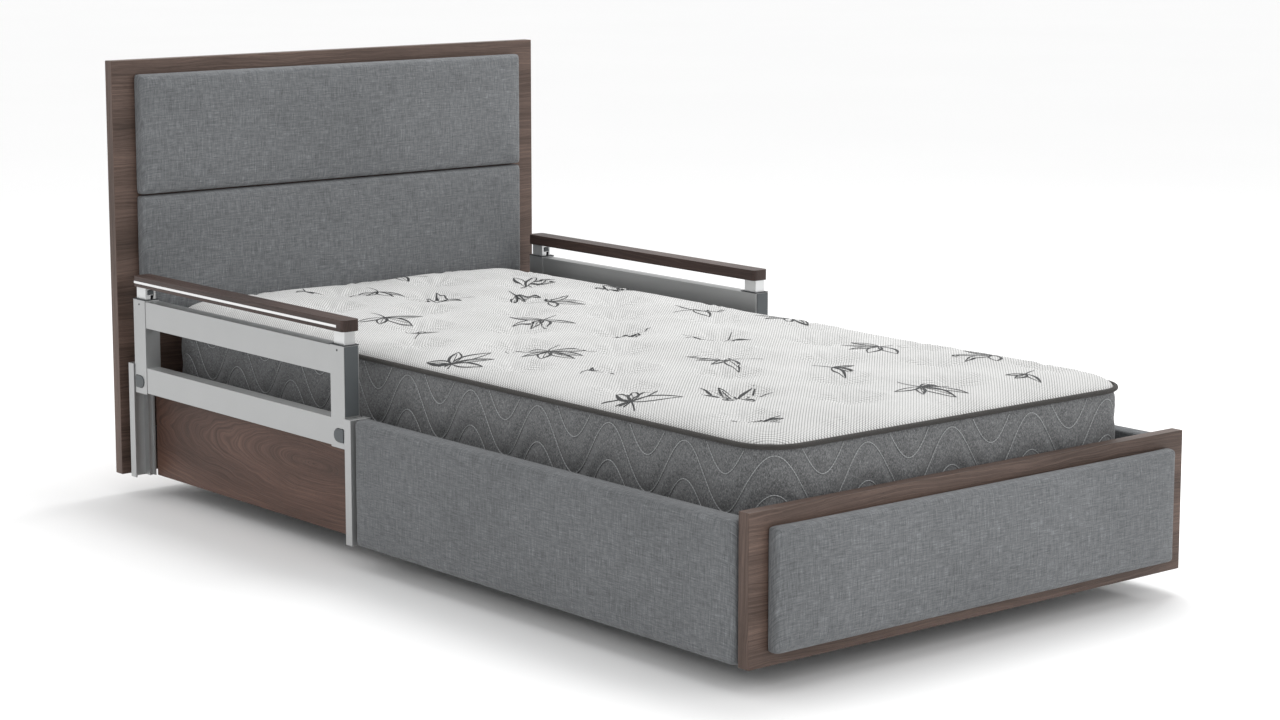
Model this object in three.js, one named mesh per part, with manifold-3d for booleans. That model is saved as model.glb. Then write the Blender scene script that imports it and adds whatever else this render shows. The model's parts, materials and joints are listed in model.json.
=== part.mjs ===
// Adjustable home-care bed: floor base with a parallel-arm lift, a platform with a four-section deck,
// an upholstered surround, a mattress and two side rails that drop.
// Millimetres. X runs across the bed, +Y towards the head, +Z up. The origin is on the floor, under the
// middle of the bed. Everything is at rest: bed flat and fully down, rails up.

import * as THREE from 'three';
import { mergeVertices } from 'three/addons/utils/BufferGeometryUtils.js';
import Module from 'manifold-3d';

const wasm = await Module();
wasm.setup();

// ---------------------------------------------------------------- driving dimensions

const GAP = 0.3;                 // left between pieces that touch
const SIDES = { left: -1, right: 1 };   // as seen from the foot end

const SURROUND_BOTTOM = 50;      // the whole surround floats this far above the floor
const INNER_LENGTH = 2095;       // footboard to headboard
const FOOTBOARD = { width: 1150, height: 280, thick: 27 };
const HEADBOARD = { width: 1188, height: 945, thick: 28 };
const FOOT_PAD = { width: 1062, low: 24, high: 252, thick: 28 };
const HEAD_CUSHION = { width: 1078, height: 272, thick: 32, seam: 3, top_margin: 32 };

const MATTRESS = { width: 965, length: 2030, bottom: 214.5, top: 437, corner: 80, head_gap: 5 };

const SIDE_PANEL = { outer: 583, thick: 40, height: 265, foot_gap: 4 };
const RAIL_PANEL = { outer: 534, thick: 18, height: 235 };
const GUIDE = { outer: 586, inner: 547, depth: 22, wall: 3, height: 263, foot_y: 141 };
const GUIDE_FLANGE = { inner: 536, outer: 539, reach: 4 };

const RAIL = { outer: 583, inner: 546, foot_y: 165, head_y: 1009, bottom: 248, top: 462 };
const RAIL_POST = { width: 50, wall: 3 };
const CROSSBAR = { inset: 1, thin: 33, upper: [400, 460], lower: [251, 309], wall: 3 };
const UPPER_POST = { inner: 551, outer: 577, width: 38, bottom: 372, socket: 6 };
const HANDRAIL = { inner: 541, outer: 584, bottom: 491, top: 515, end_gap: 1, corner: 10 };
const INLAY = { low: 498, high: 504, deep: 2, foot_stop: 24 };
const RELEASE = { middle_z: 275, high: 28, long: 34, inset: 5, proud: 2, deep: 7 };
const CATCH = { middle_z: 479, high: 9, wide: 14, proud: 2, deep: 4 };

const DECK = { top: 214, slat_thick: 2, slat_half: 458, slat_wide: 60, axis_z: 197 };
const DECK_BAR = { inner: 400, outer: 412, thick: 6, end_radius: 15, low: 182 };
const HINGE = { back: 210, thigh: -10, knee: -360 };      // Y of each deck hinge
const DECK_FOOT = -1000;
const DECK_HEAD = 1010;
const PIN_RADIUS = 6;
const PIN_CLEARANCE = 0.6;
const SLOT_SLACK = 1.6;          // along Y in a rod's eye, each side of the lever's pin

const PLATFORM = { low: 120, top: 170, web: 500, flange: 38, sheet: 3, foot_y: -1020, head_y: 1045 };
const CROSSMEMBER = { wide: 30, low: 133 };

const ARM = { length: 470, rise: 70, half: 15, inner: 330, thick: 10, tube: 9, pin: 8 };
const BASE_PIVOT_Z = 45;
const PLATFORM_PIVOT = { foot: -102, head: 748, z: BASE_PIVOT_Z + ARM.rise };
const ARM_RUN = Math.sqrt(ARM.length ** 2 - ARM.rise ** 2);
const BASE_PIVOT = { foot: PLATFORM_PIVOT.foot - ARM_RUN, head: PLATFORM_PIVOT.head - ARM_RUN };
const BASE = { low: 22, top: 58, web: 350, flange: 30, sheet: 3, foot_y: -670, head_y: 775 };
const FOOT = { radius: 26, disc: 8, stem: 7, x: 366, inset: 30 };

// A lever swings through `travel` degrees about `hinge`, centred on straight down (or up for the lift).
const LEVERS = {
  back: { x: -80, hinge: [HINGE.back, DECK.axis_z], length: 90, travel: 65, down: true, turn: 1 },
  leg: { x: 80, hinge: [HINGE.thigh, DECK.axis_z], length: 90, travel: 30, down: true, turn: -1 },
  lift: { x: 0, hinge: [BASE_PIVOT.foot, BASE_PIVOT_Z], length: 70, travel: 51, down: false, turn: 1 },
};
const ACTUATOR = { tube: 18, rod: 7.5, bore: 8.5, eye: 12, mouth_gap: 10, engaged: 70 };
const CONTROL_BOX = { x: [130, 290], y: [315.3, 455], z: [128, 168] };

// derived
const TOTAL_LENGTH = FOOT_PAD.thick + FOOTBOARD.thick + INNER_LENGTH + HEADBOARD.thick;
const PAD_FACE = -TOTAL_LENGTH / 2;
const FOOTBOARD_FACE = PAD_FACE + FOOT_PAD.thick;
const FOOTBOARD_BACK = FOOTBOARD_FACE + FOOTBOARD.thick;
const HEADBOARD_FACE = FOOTBOARD_BACK + INNER_LENGTH;
const HEADBOARD_BACK = HEADBOARD_FACE + HEADBOARD.thick;
const GUIDE_HEAD_Y = RAIL.head_y + (RAIL.foot_y - GUIDE.foot_y - GUIDE.depth);

// ---------------------------------------------------------------- materials

const finish = (color, roughness, metalness) => new THREE.MeshStandardMaterial({ color, roughness, metalness });
const MATERIALS = {
  walnut: finish(0x5a4a41, 0.55, 0),
  upholstery: finish(0x777b7e, 0.9, 0),
  mattress: finish(0xd8d8d5, 0.9, 0),
  aluminium: finish(0xbcbcbc, 0.4, 0.9),
  bright_strip: finish(0xe2e2e2, 0.15, 1),
  frame_paint: finish(0x3c3f42, 0.5, 0.6),
  steel: finish(0xa8abad, 0.3, 1),
  dark_plastic: finish(0x4a4d50, 0.6, 0),
  grey_plastic: finish(0x8d9093, 0.6, 0),
  rubber: finish(0x222324, 0.85, 0),
};

// ---------------------------------------------------------------- shapes

/** A block from [low, high] on each axis. */
function block(x, y, z) {
  const geometry = new THREE.BoxGeometry(x[1] - x[0], y[1] - y[0], z[1] - z[0]);
  return geometry.translate((x[0] + x[1]) / 2, (y[0] + y[1]) / 2, (z[0] + z[1]) / 2);
}

/** [low, high] along X of something between two distances from the middle, on one side of the bed. */
function outward(side, near, far) {
  return side > 0 ? [near, far] : [-far, -near];
}

/** [low, high] of two values given in either order. */
function sorted(a, b) {
  return [Math.min(a, b), Math.max(a, b)];
}

function outline(points) {
  return new THREE.Shape(points.map(([u, v]) => new THREE.Vector2(u, v)));
}

/** A rectangle [low, high] by [low, high] with round corners. */
function roundedOutline(u, v, radius) {
  const shape = new THREE.Shape();
  shape.absarc(u[1] - radius, v[0] + radius, radius, -Math.PI / 2, 0, false);
  shape.absarc(u[1] - radius, v[1] - radius, radius, 0, Math.PI / 2, false);
  shape.absarc(u[0] + radius, v[1] - radius, radius, Math.PI / 2, Math.PI, false);
  shape.absarc(u[0] + radius, v[0] + radius, radius, Math.PI, 1.5 * Math.PI, false);
  shape.closePath();
  return shape;
}

const ALONG = {
  x: new THREE.Matrix4().set(0, 0, 1, 0, 1, 0, 0, 0, 0, 1, 0, 0, 0, 0, 0, 1),   // outline is Y, Z
  y: new THREE.Matrix4().set(1, 0, 0, 0, 0, 0, -1, 0, 0, 1, 0, 0, 0, 0, 0, 1),  // outline is X, Z
  z: new THREE.Matrix4(),                                                       // outline is X, Y
};

/** An outline extruded from low to high along an axis. */
function prism(axis, shape, [low, high], curveSegments = 3) {
  const geometry = new THREE.ExtrudeGeometry(shape, {
    depth: high - low,
    bevelEnabled: false,
    curveSegments,
  });
  geometry.translate(0, 0, axis === 'y' ? -high : low);
  return geometry.applyMatrix4(ALONG[axis]);
}

/** A block with its edges rounded off, for pads and cushions that face along Y or X. */
function softBlock(axis, u, v, w, radius) {
  const shape = roundedOutline([u[0] + radius, u[1] - radius], [v[0] + radius, v[1] - radius], radius);
  const geometry = new THREE.ExtrudeGeometry(shape, {
    depth: w[1] - w[0] - 2 * radius,
    bevelThickness: radius,
    bevelSize: radius,
    bevelSegments: 1,
    curveSegments: 2,
  });
  geometry.translate(0, 0, axis === 'y' ? -w[1] + radius : w[0] + radius);
  return geometry.applyMatrix4(ALONG[axis]);
}

const ROD_TURN = {
  x: (geometry) => geometry.rotateZ(-Math.PI / 2),
  y: (geometry) => geometry,
  z: (geometry) => geometry.rotateX(Math.PI / 2),
};

/** A round bar along an axis from low to high; `centre` holds the other two coordinates in X, Y, Z order. */
function bar(axis, centre, [low, high], radius, sides = 12) {
  const geometry = ROD_TURN[axis](new THREE.CylinderGeometry(radius, radius, high - low, sides));
  const middle = (low + high) / 2;
  const [a, b] = centre;
  const place = { x: [middle, a, b], y: [a, middle, b], z: [a, b, middle] }[axis];
  return geometry.translate(...place);
}

// ---------------------------------------------------------------- joining and cutting

function toSolid(geometry) {
  const bare = geometry.clone();
  bare.deleteAttribute('normal');
  bare.deleteAttribute('uv');
  const merged = mergeVertices(bare, 1e-4);
  return new wasm.Manifold(new wasm.Mesh({
    numProp: 3,
    vertProperties: Float32Array.from(merged.attributes.position.array),
    triVerts: Uint32Array.from(merged.index.array),
  }));
}

function toGeometry(solid) {
  const mesh = solid.getMesh();
  const geometry = new THREE.BufferGeometry();
  geometry.setAttribute('position', new THREE.BufferAttribute(mesh.vertProperties, mesh.numProp));
  geometry.setIndex(new THREE.BufferAttribute(mesh.triVerts, 1));
  geometry.computeVertexNormals();
  return geometry;
}

/** Joins every geometry in `pieces`, then takes every geometry in `holes` away. */
function build(pieces, holes = []) {
  let solid = toSolid(pieces[0]);
  for (const piece of pieces.slice(1)) {
    solid = solid.add(toSolid(piece));
  }
  for (const hole of holes) {
    solid = solid.subtract(toSolid(hole));
  }
  return toGeometry(solid);
}

// ---------------------------------------------------------------- the assembly

const bed = new THREE.Group();
const groups = {};
for (const name of ['base', 'lift', 'platform', 'deck', 'surround', 'mattress', 'rails']) {
  groups[name] = new THREE.Group();
  bed.add(groups[name]);
}

/** Adds a named piece. Its geometry is centred on `at`, which becomes the mesh's position. */
function add(group, name, material, geometry, at = [0, 0, 0]) {
  const mesh = new THREE.Mesh(geometry.translate(-at[0], -at[1], -at[2]), MATERIALS[material]);
  mesh.name = name;
  mesh.position.set(...at);
  groups[group].add(mesh);
}

// ---------------------------------------------------------------- levers and actuators

/** Y, Z of a lever's pin when the joint stands at `degrees`. */
function leverPin({ hinge, length, travel, down, turn }, degrees) {
  const swing = THREE.MathUtils.degToRad(turn * (degrees - travel / 2));
  const along = down ? Math.sin(swing) : -Math.sin(swing);
  const drop = down ? -Math.cos(swing) : Math.cos(swing);
  return [hinge[0] + length * along, hinge[1] + length * drop];
}

/** The height that the rod runs at, and half the slot that lets the pin rise and fall on its arc. */
function slotOf(lever) {
  const [, endZ] = leverPin(lever, 0);
  const [, middleZ] = leverPin(lever, lever.travel / 2);
  return { z: (endZ + middleZ) / 2, half: Math.abs(endZ - middleZ) / 2 + PIN_RADIUS + PIN_CLEARANCE };
}

/** Which way along Y the rod moves, and how far. */
function strokeOf(lever) {
  return leverPin(lever, lever.travel)[0] - leverPin(lever, 0)[0];
}

/** The pin and its two cheeks, each cheek filling the outline given as [Y, Z] points. */
function leverPieces(lever, cheekPoints) {
  const cheeks = [[-15, -9], [9, 15]].map(([near, far]) => (
    prism('x', outline(cheekPoints), [lever.x + near, lever.x + far])
  ));
  return [...cheeks, bar('x', leverPin(lever, 0), [lever.x - 14, lever.x + 14], PIN_RADIUS)];
}

/** The rod with its slotted eye. It retracts away from the way that it pushes. */
function actuatorRod(lever) {
  const [pinY] = leverPin(lever, 0);
  const { z, half } = slotOf(lever);
  const push = Math.sign(strokeOf(lever));
  const halfWide = PIN_RADIUS + SLOT_SLACK;
  const eye = roundedOutline([pinY - 14, pinY + 14], [z - half - 8, z + half + 8], 6);
  const slot = roundedOutline([pinY - halfWide, pinY + halfWide], [z - half, z + half], halfWide - 0.1);
  const shank = sorted(pinY - push * 12, pinY - push * (24 + Math.abs(strokeOf(lever)) + ACTUATOR.engaged));
  return build([
    prism('x', eye, [lever.x - ACTUATOR.eye / 2, lever.x + ACTUATOR.eye / 2], 2),
    bar('y', [lever.x, z], shank, ACTUATOR.rod),
  ], [
    prism('x', slot, [lever.x - ACTUATOR.eye, lever.x + ACTUATOR.eye], 3),
  ]);
}

/** The actuator's tube, motor housing and mounting block; `tail` is the Y of its closed end. */
function actuatorTube(lever, tail, motorSide, mount) {
  const [pinY] = leverPin(lever, 0);
  const { z } = slotOf(lever);
  const push = Math.sign(strokeOf(lever));
  const mouth = pinY - push * (14 + ACTUATOR.mouth_gap);
  const boreEnd = mouth - push * (Math.abs(strokeOf(lever)) + ACTUATOR.engaged + 20);
  const motorY = sorted(tail, tail + push * 62);
  const motorX = sorted(lever.x + motorSide * 8, lever.x + motorSide * 74);
  return build([
    bar('y', [lever.x, z], sorted(tail, mouth), ACTUATOR.tube, 20),
    prism('y', roundedOutline(motorX, [z - 19, z + 17], 8), motorY, 2),
    mount,
  ], [
    bar('y', [lever.x, z], sorted(boreEnd, mouth + push), ACTUATOR.bore),
  ]);
}

// ---------------------------------------------------------------- base

/** A pressed channel along Y: a web standing at `web` and two flanges reaching towards `edge`. */
function channelAlongY(side, web, edge, y, z, sheet) {
  const inward = web > edge;
  const webX = inward ? [web - sheet, web] : [web, web + sheet];
  const flangeX = [Math.min(web, edge), Math.max(web, edge)];
  return [
    block(outward(side, ...webX), y, z),
    block(outward(side, ...flangeX), y, [z[0], z[0] + sheet]),
    block(outward(side, ...flangeX), y, [z[1] - sheet, z[1]]),
  ];
}

/** A pressed channel across the bed, open underneath. */
function channelAcross(halfLength, middleY, wide, z, sheet) {
  const y = [middleY - wide / 2, middleY + wide / 2];
  const x = [-halfLength, halfLength];
  return [
    block(x, y, [z[1] - sheet, z[1]]),
    block(x, [y[0], y[0] + sheet], z),
    block(x, [y[1] - sheet, y[1]], z),
  ];
}

function baseFrame() {
  const pieces = [];
  const holes = [];
  for (const side of Object.values(SIDES)) {
    pieces.push(...channelAlongY(
      side, BASE.web, BASE.web + BASE.flange, [BASE.foot_y, BASE.head_y], [BASE.low, BASE.top], BASE.sheet,
    ));
    for (const pivotY of [BASE_PIVOT.foot, BASE_PIVOT.head]) {
      holes.push(bar('x', [pivotY, BASE_PIVOT_Z], outward(side, BASE.web - 5, BASE.web + 8), ARM.tube + PIN_CLEARANCE));
    }
  }
  for (const middleY of [-650, -220, 60, 520, 755]) {
    pieces.push(...channelAcross(BASE.web + 1, middleY, 30, [25, 55], BASE.sheet));
  }
  return build(pieces, holes);
}

function levellingFoot(x, y) {
  return build([
    bar('z', [x, y], [0, FOOT.disc], FOOT.radius, 20),
    bar('z', [x, y], [FOOT.disc - 1, BASE.low - GAP], FOOT.stem),
  ]);
}

add('base', 'base_frame', 'frame_paint', baseFrame());
for (const [sideName, side] of Object.entries(SIDES)) {
  for (const [endName, y] of [['foot', BASE.foot_y + FOOT.inset], ['head', BASE.head_y - FOOT.inset]]) {
    const at = [side * FOOT.x, y, 0];
    add('base', `levelling_foot_${endName}_${sideName}`, 'rubber', levellingFoot(at[0], at[1]), at);
  }
}

// ---------------------------------------------------------------- lift

/** Two flat arms on one pivot tube. The lower tube turns in the base, the upper pins in the platform. */
function liftArm(baseY, platformY, extra) {
  const pieces = [bar('x', [baseY, BASE_PIVOT_Z], [-372, 372], ARM.tube)];
  const angle = Math.atan2(ARM.rise, ARM_RUN);
  for (const side of Object.values(SIDES)) {
    const arm = new THREE.Shape();
    arm.absarc(platformY, PLATFORM_PIVOT.z, ARM.half, angle - Math.PI / 2, angle + Math.PI / 2, false);
    arm.absarc(baseY, BASE_PIVOT_Z, ARM.half, angle + Math.PI / 2, angle + 1.5 * Math.PI, false);
    arm.closePath();
    pieces.push(prism('x', arm, outward(side, ARM.inner, ARM.inner + ARM.thick)));
    pieces.push(bar('x', [platformY, PLATFORM_PIVOT.z], outward(side, 319, 351), ARM.pin));
  }
  return build([...pieces, ...extra]);
}

function liftLever() {
  const [pinY, pinZ] = leverPin(LEVERS.lift, 0);
  const [pivotY, pivotZ] = LEVERS.lift.hinge;
  return leverPieces(LEVERS.lift, [
    [pivotY - 14, pivotZ - 4],
    [pivotY + 10, pivotZ - 12],
    [pivotY + 20, pivotZ],
    [pinY + 12, pinZ - 6],
    [pinY + 12, pinZ + 6],
    [pinY + 4, pinZ + 12],
    [pinY - 8, pinZ + 10],
  ]);
}

add('lift', 'lift_arm_foot', 'frame_paint', liftArm(BASE_PIVOT.foot, PLATFORM_PIVOT.foot, liftLever()));
add('lift', 'lift_arm_head', 'frame_paint', liftArm(BASE_PIVOT.head, PLATFORM_PIVOT.head, []));
add('lift', 'lift_actuator_tube', 'grey_plastic', actuatorTube(
  LEVERS.lift, -205, 1, block([-14, 14], [-234, -206], [55 + GAP, 100]),
));
add('lift', 'lift_actuator_rod', 'steel', actuatorRod(LEVERS.lift));

// ---------------------------------------------------------------- platform

const CROSSMEMBER_YS = [-1005, -600, PLATFORM_PIVOT.foot, 300, PLATFORM_PIVOT.head, 1030];

/** The steel frame that carries the deck and the surround. */
function platformFrame() {
  const pieces = [];
  const holes = [];
  const crossZ = [CROSSMEMBER.low, PLATFORM.top];
  for (const middleY of CROSSMEMBER_YS) {
    pieces.push(...channelAcross(PLATFORM.web - 1, middleY, CROSSMEMBER.wide, crossZ, PLATFORM.sheet));
  }
  for (const side of Object.values(SIDES)) {
    pieces.push(...channelAlongY(
      side, PLATFORM.web, PLATFORM.web - PLATFORM.flange,
      [PLATFORM.foot_y, PLATFORM.head_y], [PLATFORM.low, PLATFORM.top], PLATFORM.sheet,
    ));
    for (const pivotY of [PLATFORM_PIVOT.foot, PLATFORM_PIVOT.head]) {
      for (const near of [322, 342]) {
        pieces.push(block(outward(side, near, near + 6), [pivotY - 15, pivotY + 15], [98, 169]));
      }
      holes.push(bar('x', [pivotY, PLATFORM_PIVOT.z], outward(side, 315, 355), ARM.pin + PIN_CLEARANCE));
    }
    pieces.push(...panelBrackets(side), ...endBrackets(side), ...restPads(side));
  }
  return build(pieces, holes);
}

/** Brackets that reach out to the side panels, the rail panels and the rail guides. */
function panelBrackets(side) {
  const pieces = [];
  const reach = [
    [[-800, -300, 60], SIDE_PANEL.outer - SIDE_PANEL.thick],
    [[300, 620, 900], RAIL_PANEL.outer - RAIL_PANEL.thick],
  ];
  for (const [ys, face] of reach) {
    for (const y of ys) {
      pieces.push(block(outward(side, PLATFORM.web - 1, face - GAP), [y - 20, y + 20], [142, 148]));
      pieces.push(block(outward(side, face - GAP - 5, face - GAP), [y - 20, y + 20], [122, 168]));
    }
  }
  for (const y of [GUIDE.foot_y + GUIDE.depth / 2, GUIDE_HEAD_Y + GUIDE.depth / 2]) {
    pieces.push(block(outward(side, PLATFORM.web - 1, GUIDE_FLANGE.inner - GAP), [y - 9, y + 9], [130, 160]));
  }
  return pieces;
}

function endBrackets(side) {
  const x = outward(side, 280, 320);
  return [
    block(x, [FOOTBOARD_BACK + GAP, PLATFORM.foot_y + 10], [136, 166]),
    block(x, [PLATFORM.head_y - 10, HEADBOARD_FACE - GAP], [136, 166]),
  ];
}

/** Stops that the moving deck sections rest on when they are flat. */
function restPads(side) {
  const z = [PLATFORM.top - 1, DECK_BAR.low - 0.5];
  const pad = (near, y) => block(outward(side, near, near + 16), [y - 12, y + 12], z);
  return [pad(395, PLATFORM_PIVOT.head), pad(395, PLATFORM_PIVOT.foot), pad(407, -600)];
}

add('platform', 'lying_frame', 'frame_paint', platformFrame());
add('platform', 'back_actuator_tube', 'grey_plastic', actuatorTube(
  LEVERS.back, -180, -1, block([-94, -66], [-116, -88], [110, CROSSMEMBER.low - GAP]),
));
add('platform', 'back_actuator_rod', 'steel', actuatorRod(LEVERS.back));
add('platform', 'leg_actuator_tube', 'grey_plastic', actuatorTube(
  LEVERS.leg, 330, -1, block([66, 94], [286, 314], [105, CROSSMEMBER.low - GAP]),
));
add('platform', 'leg_actuator_rod', 'steel', actuatorRod(LEVERS.leg));
add('platform', 'control_box', 'dark_plastic', build([
  block(CONTROL_BOX.x, CONTROL_BOX.y, CONTROL_BOX.z),
], [
  block([150, 180], [CONTROL_BOX.y[1] - 18, CONTROL_BOX.y[1] + 1], [138, 158]),
  block([205, 217], [CONTROL_BOX.y[1] - 12, CONTROL_BOX.y[1] + 1], [142, 154]),
  block([235, 247], [CONTROL_BOX.y[1] - 12, CONTROL_BOX.y[1] + 1], [142, 154]),
]));

// ---------------------------------------------------------------- deck

/** Slats of one deck section, spread evenly from y[0] to y[1]. */
function slats(y, count) {
  const pitch = (y[1] - y[0] - DECK.slat_wide) / (count - 1);
  const across = [-DECK.slat_half, DECK.slat_half];
  return Array.from({ length: count }, (_, n) => {
    const start = y[0] + n * pitch;
    return block(across, [start, start + DECK.slat_wide], [DECK.top - DECK.slat_thick, DECK.top]);
  });
}

/** The two upright flat bars of a section, with a round end about each hinge that they reach. */
function deckBars(near, y, roundEnds) {
  const bars = [];
  for (const side of Object.values(SIDES)) {
    const x = outward(side, near, near + DECK_BAR.thick);
    bars.push(block(x, y, [DECK_BAR.low, DECK.top - 1]));
    for (const hingeY of roundEnds) {
      bars.push(bar('x', [hingeY, DECK.axis_z], x, DECK_BAR.end_radius));
    }
  }
  return bars;
}

function hingePins(hingeY) {
  return Object.values(SIDES).map((side) => (
    bar('x', [hingeY, DECK.axis_z], outward(side, DECK_BAR.inner - 4, DECK_BAR.outer + 2), PIN_RADIUS)
  ));
}

function hingeHoles(hingeY) {
  return Object.values(SIDES).map((side) => bar(
    'x', [hingeY, DECK.axis_z], outward(side, DECK_BAR.inner - 2, DECK_BAR.inner + 8), PIN_RADIUS + PIN_CLEARANCE,
  ));
}

function backLever() {
  const [pinY, pinZ] = leverPin(LEVERS.back, 0);
  const [hingeY, hingeZ] = LEVERS.back.hinge;
  return leverPieces(LEVERS.back, [
    [pinY - 10, pinZ - 4],
    [pinY, pinZ - 12],
    [pinY + 11, pinZ - 6],
    [hingeY + 16, hingeZ - 8],
    [hingeY + 82, hingeZ + 4],
    [hingeY + 82, DECK.top - 1],
    [hingeY + 27, DECK.top - 1],
    [hingeY - 8, hingeZ + 8],
  ]);
}

function legLever() {
  const [pinY, pinZ] = leverPin(LEVERS.leg, 0);
  const [hingeY, hingeZ] = LEVERS.leg.hinge;
  return leverPieces(LEVERS.leg, [
    [pinY + 10, pinZ - 4],
    [pinY, pinZ - 12],
    [pinY - 12, pinZ - 4],
    [hingeY - 20, hingeZ - 8],
    [hingeY - 82, hingeZ + 4],
    [hingeY - 82, DECK.top - 1],
    [hingeY - 27, DECK.top - 1],
    [hingeY + 9, hingeZ + 8],
  ]);
}

function backDeck() {
  return build([
    ...deckBars(DECK_BAR.inner, [HINGE.back, DECK_HEAD], [HINGE.back]),
    ...slats([HINGE.back + 25, DECK_HEAD], 8),
    ...backLever(),
  ], hingeHoles(HINGE.back));
}

/** The fixed section: its bars carry the hinge pins, and its ears sit on the platform. */
function seatDeck() {
  const ears = Object.values(SIDES).flatMap((side) => [
    block(outward(side, DECK_BAR.outer, DECK_BAR.outer + DECK_BAR.thick), [50, 150], [170 + GAP, 190]),
    block(outward(side, DECK_BAR.outer, PLATFORM.web), [50, 150], [170 + GAP, 174 + GAP]),
  ]);
  return build([
    ...deckBars(DECK_BAR.outer, [HINGE.thigh, HINGE.back], [HINGE.thigh, HINGE.back]),
    ...slats([HINGE.thigh + 28, HINGE.back - 28], 2),
    ...hingePins(HINGE.thigh),
    ...hingePins(HINGE.back),
    ...ears,
  ]);
}

function thighDeck() {
  return build([
    ...deckBars(DECK_BAR.inner, [HINGE.knee, HINGE.thigh], [HINGE.knee, HINGE.thigh]),
    ...slats([HINGE.knee + 27, HINGE.thigh - 25], 4),
    ...legLever(),
  ], [...hingeHoles(HINGE.knee), ...hingeHoles(HINGE.thigh)]);
}

/** The calf section ends in two round skids that stand on the platform's side channels. */
function calfDeck() {
  const skids = Object.values(SIDES).map((side) => (
    bar('x', [-975, 184], outward(side, DECK_BAR.outer + 2, 486), 13.5)
  ));
  return build([
    ...deckBars(DECK_BAR.outer, [DECK_FOOT, HINGE.knee], [HINGE.knee]),
    ...slats([DECK_FOOT + 5, HINGE.knee - 27], 7),
    ...hingePins(HINGE.knee),
    ...skids,
  ]);
}

add('deck', 'back_deck', 'frame_paint', backDeck());
add('deck', 'seat_deck', 'frame_paint', seatDeck());
add('deck', 'thigh_deck', 'frame_paint', thighDeck());
add('deck', 'calf_deck', 'frame_paint', calfDeck());

// ---------------------------------------------------------------- mattress

/** The whole mattress, from which each section is cut. */
function mattressBody() {
  const half = MATTRESS.width / 2;
  const head = HEADBOARD_FACE - HEAD_CUSHION.thick - MATTRESS.head_gap;
  const plan = roundedOutline([-half, half], [head - MATTRESS.length, head], MATTRESS.corner);
  return prism('z', plan, [MATTRESS.bottom, MATTRESS.top], 6);
}

const SECTION_GAP = 0.5;
const FAR = 1500;

// The sections part on planes through the hinges. `lean` is in degrees, towards +Y at the top: half of the
// fold, so that a raised section's face stays clear of the section beyond the seat.
const PARTINGS = {
  back: { y: HINGE.back, lean: LEVERS.back.travel / 2 },
  thigh: { y: HINGE.thigh, lean: -LEVERS.leg.travel / 2 },
  knee: { y: HINGE.knee, lean: 0 },
};

/** Everything beyond a parting plane, towards +Y or -Y, with half of the gap between two sections. */
function beyond({ y, lean }, direction) {
  const slope = Math.tan(THREE.MathUtils.degToRad(lean));
  const faceAt = (z) => y + slope * (z - DECK.axis_z) - direction * SECTION_GAP / 2;
  const [low, high] = [MATTRESS.bottom - 10, MATTRESS.top + 10];
  return prism('x', outline([
    [faceAt(low), low],
    [direction * FAR, low],
    [direction * FAR, high],
    [faceAt(high), high],
  ]), [-600, 600]);
}

const MATTRESS_SECTIONS = {
  back: [beyond(PARTINGS.back, -1)],
  seat: [beyond(PARTINGS.back, 1), beyond(PARTINGS.thigh, -1)],
  thigh: [beyond(PARTINGS.thigh, 1), beyond(PARTINGS.knee, -1)],
  calf: [beyond(PARTINGS.knee, 1)],
};
for (const [section, holes] of Object.entries(MATTRESS_SECTIONS)) {
  add('mattress', `mattress_${section}`, 'mattress', build([mattressBody()], holes));
}

// ---------------------------------------------------------------- surround

function endBoard(board, y) {
  return block([-board.width / 2, board.width / 2], y, [SURROUND_BOTTOM, SURROUND_BOTTOM + board.height]);
}

/** A cushion glued to a board's face: [low, high] in Z and Y. */
function cushion(width, z, y, radius) {
  return softBlock('y', [-width / 2, width / 2], z, y, radius);
}

const cushionY = [HEADBOARD_FACE - HEAD_CUSHION.thick, HEADBOARD_FACE - GAP];
const upperTop = SURROUND_BOTTOM + HEADBOARD.height - HEAD_CUSHION.top_margin;
const upperLow = upperTop - HEAD_CUSHION.height;
const lowerTop = upperLow - HEAD_CUSHION.seam;

add('surround', 'headboard', 'walnut', endBoard(HEADBOARD, [HEADBOARD_FACE, HEADBOARD_BACK]));
add('surround', 'headboard_cushion_upper', 'upholstery', cushion(
  HEAD_CUSHION.width, [upperLow, upperTop], cushionY, 9,
));
add('surround', 'headboard_cushion_lower', 'upholstery', cushion(
  HEAD_CUSHION.width, [lowerTop - HEAD_CUSHION.height, lowerTop], cushionY, 9,
));
add('surround', 'footboard', 'walnut', endBoard(FOOTBOARD, [FOOTBOARD_FACE, FOOTBOARD_BACK]));
add('surround', 'footboard_pad', 'upholstery', cushion(
  FOOT_PAD.width,
  [SURROUND_BOTTOM + FOOT_PAD.low, SURROUND_BOTTOM + FOOT_PAD.high],
  [PAD_FACE, FOOTBOARD_FACE - GAP],
  8,
));

for (const [sideName, side] of Object.entries(SIDES)) {
  const panelX = outward(side, SIDE_PANEL.outer - SIDE_PANEL.thick, SIDE_PANEL.outer);
  const panelY = [FOOTBOARD_BACK + SIDE_PANEL.foot_gap, GUIDE.foot_y - 1.5];
  const panelZ = [SURROUND_BOTTOM, SURROUND_BOTTOM + SIDE_PANEL.height];
  add('surround', `side_panel_${sideName}`, 'upholstery', softBlock('x', panelY, panelZ, panelX, 6));
  add('surround', `rail_panel_${sideName}`, 'walnut', block(
    outward(side, RAIL_PANEL.outer - RAIL_PANEL.thick, RAIL_PANEL.outer),
    [GUIDE.foot_y + GUIDE.depth + GUIDE_FLANGE.reach + 2, GUIDE_HEAD_Y - GUIDE_FLANGE.reach - 2],
    [SURROUND_BOTTOM, SURROUND_BOTTOM + RAIL_PANEL.height],
  ));
}

// ---------------------------------------------------------------- side rails

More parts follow.
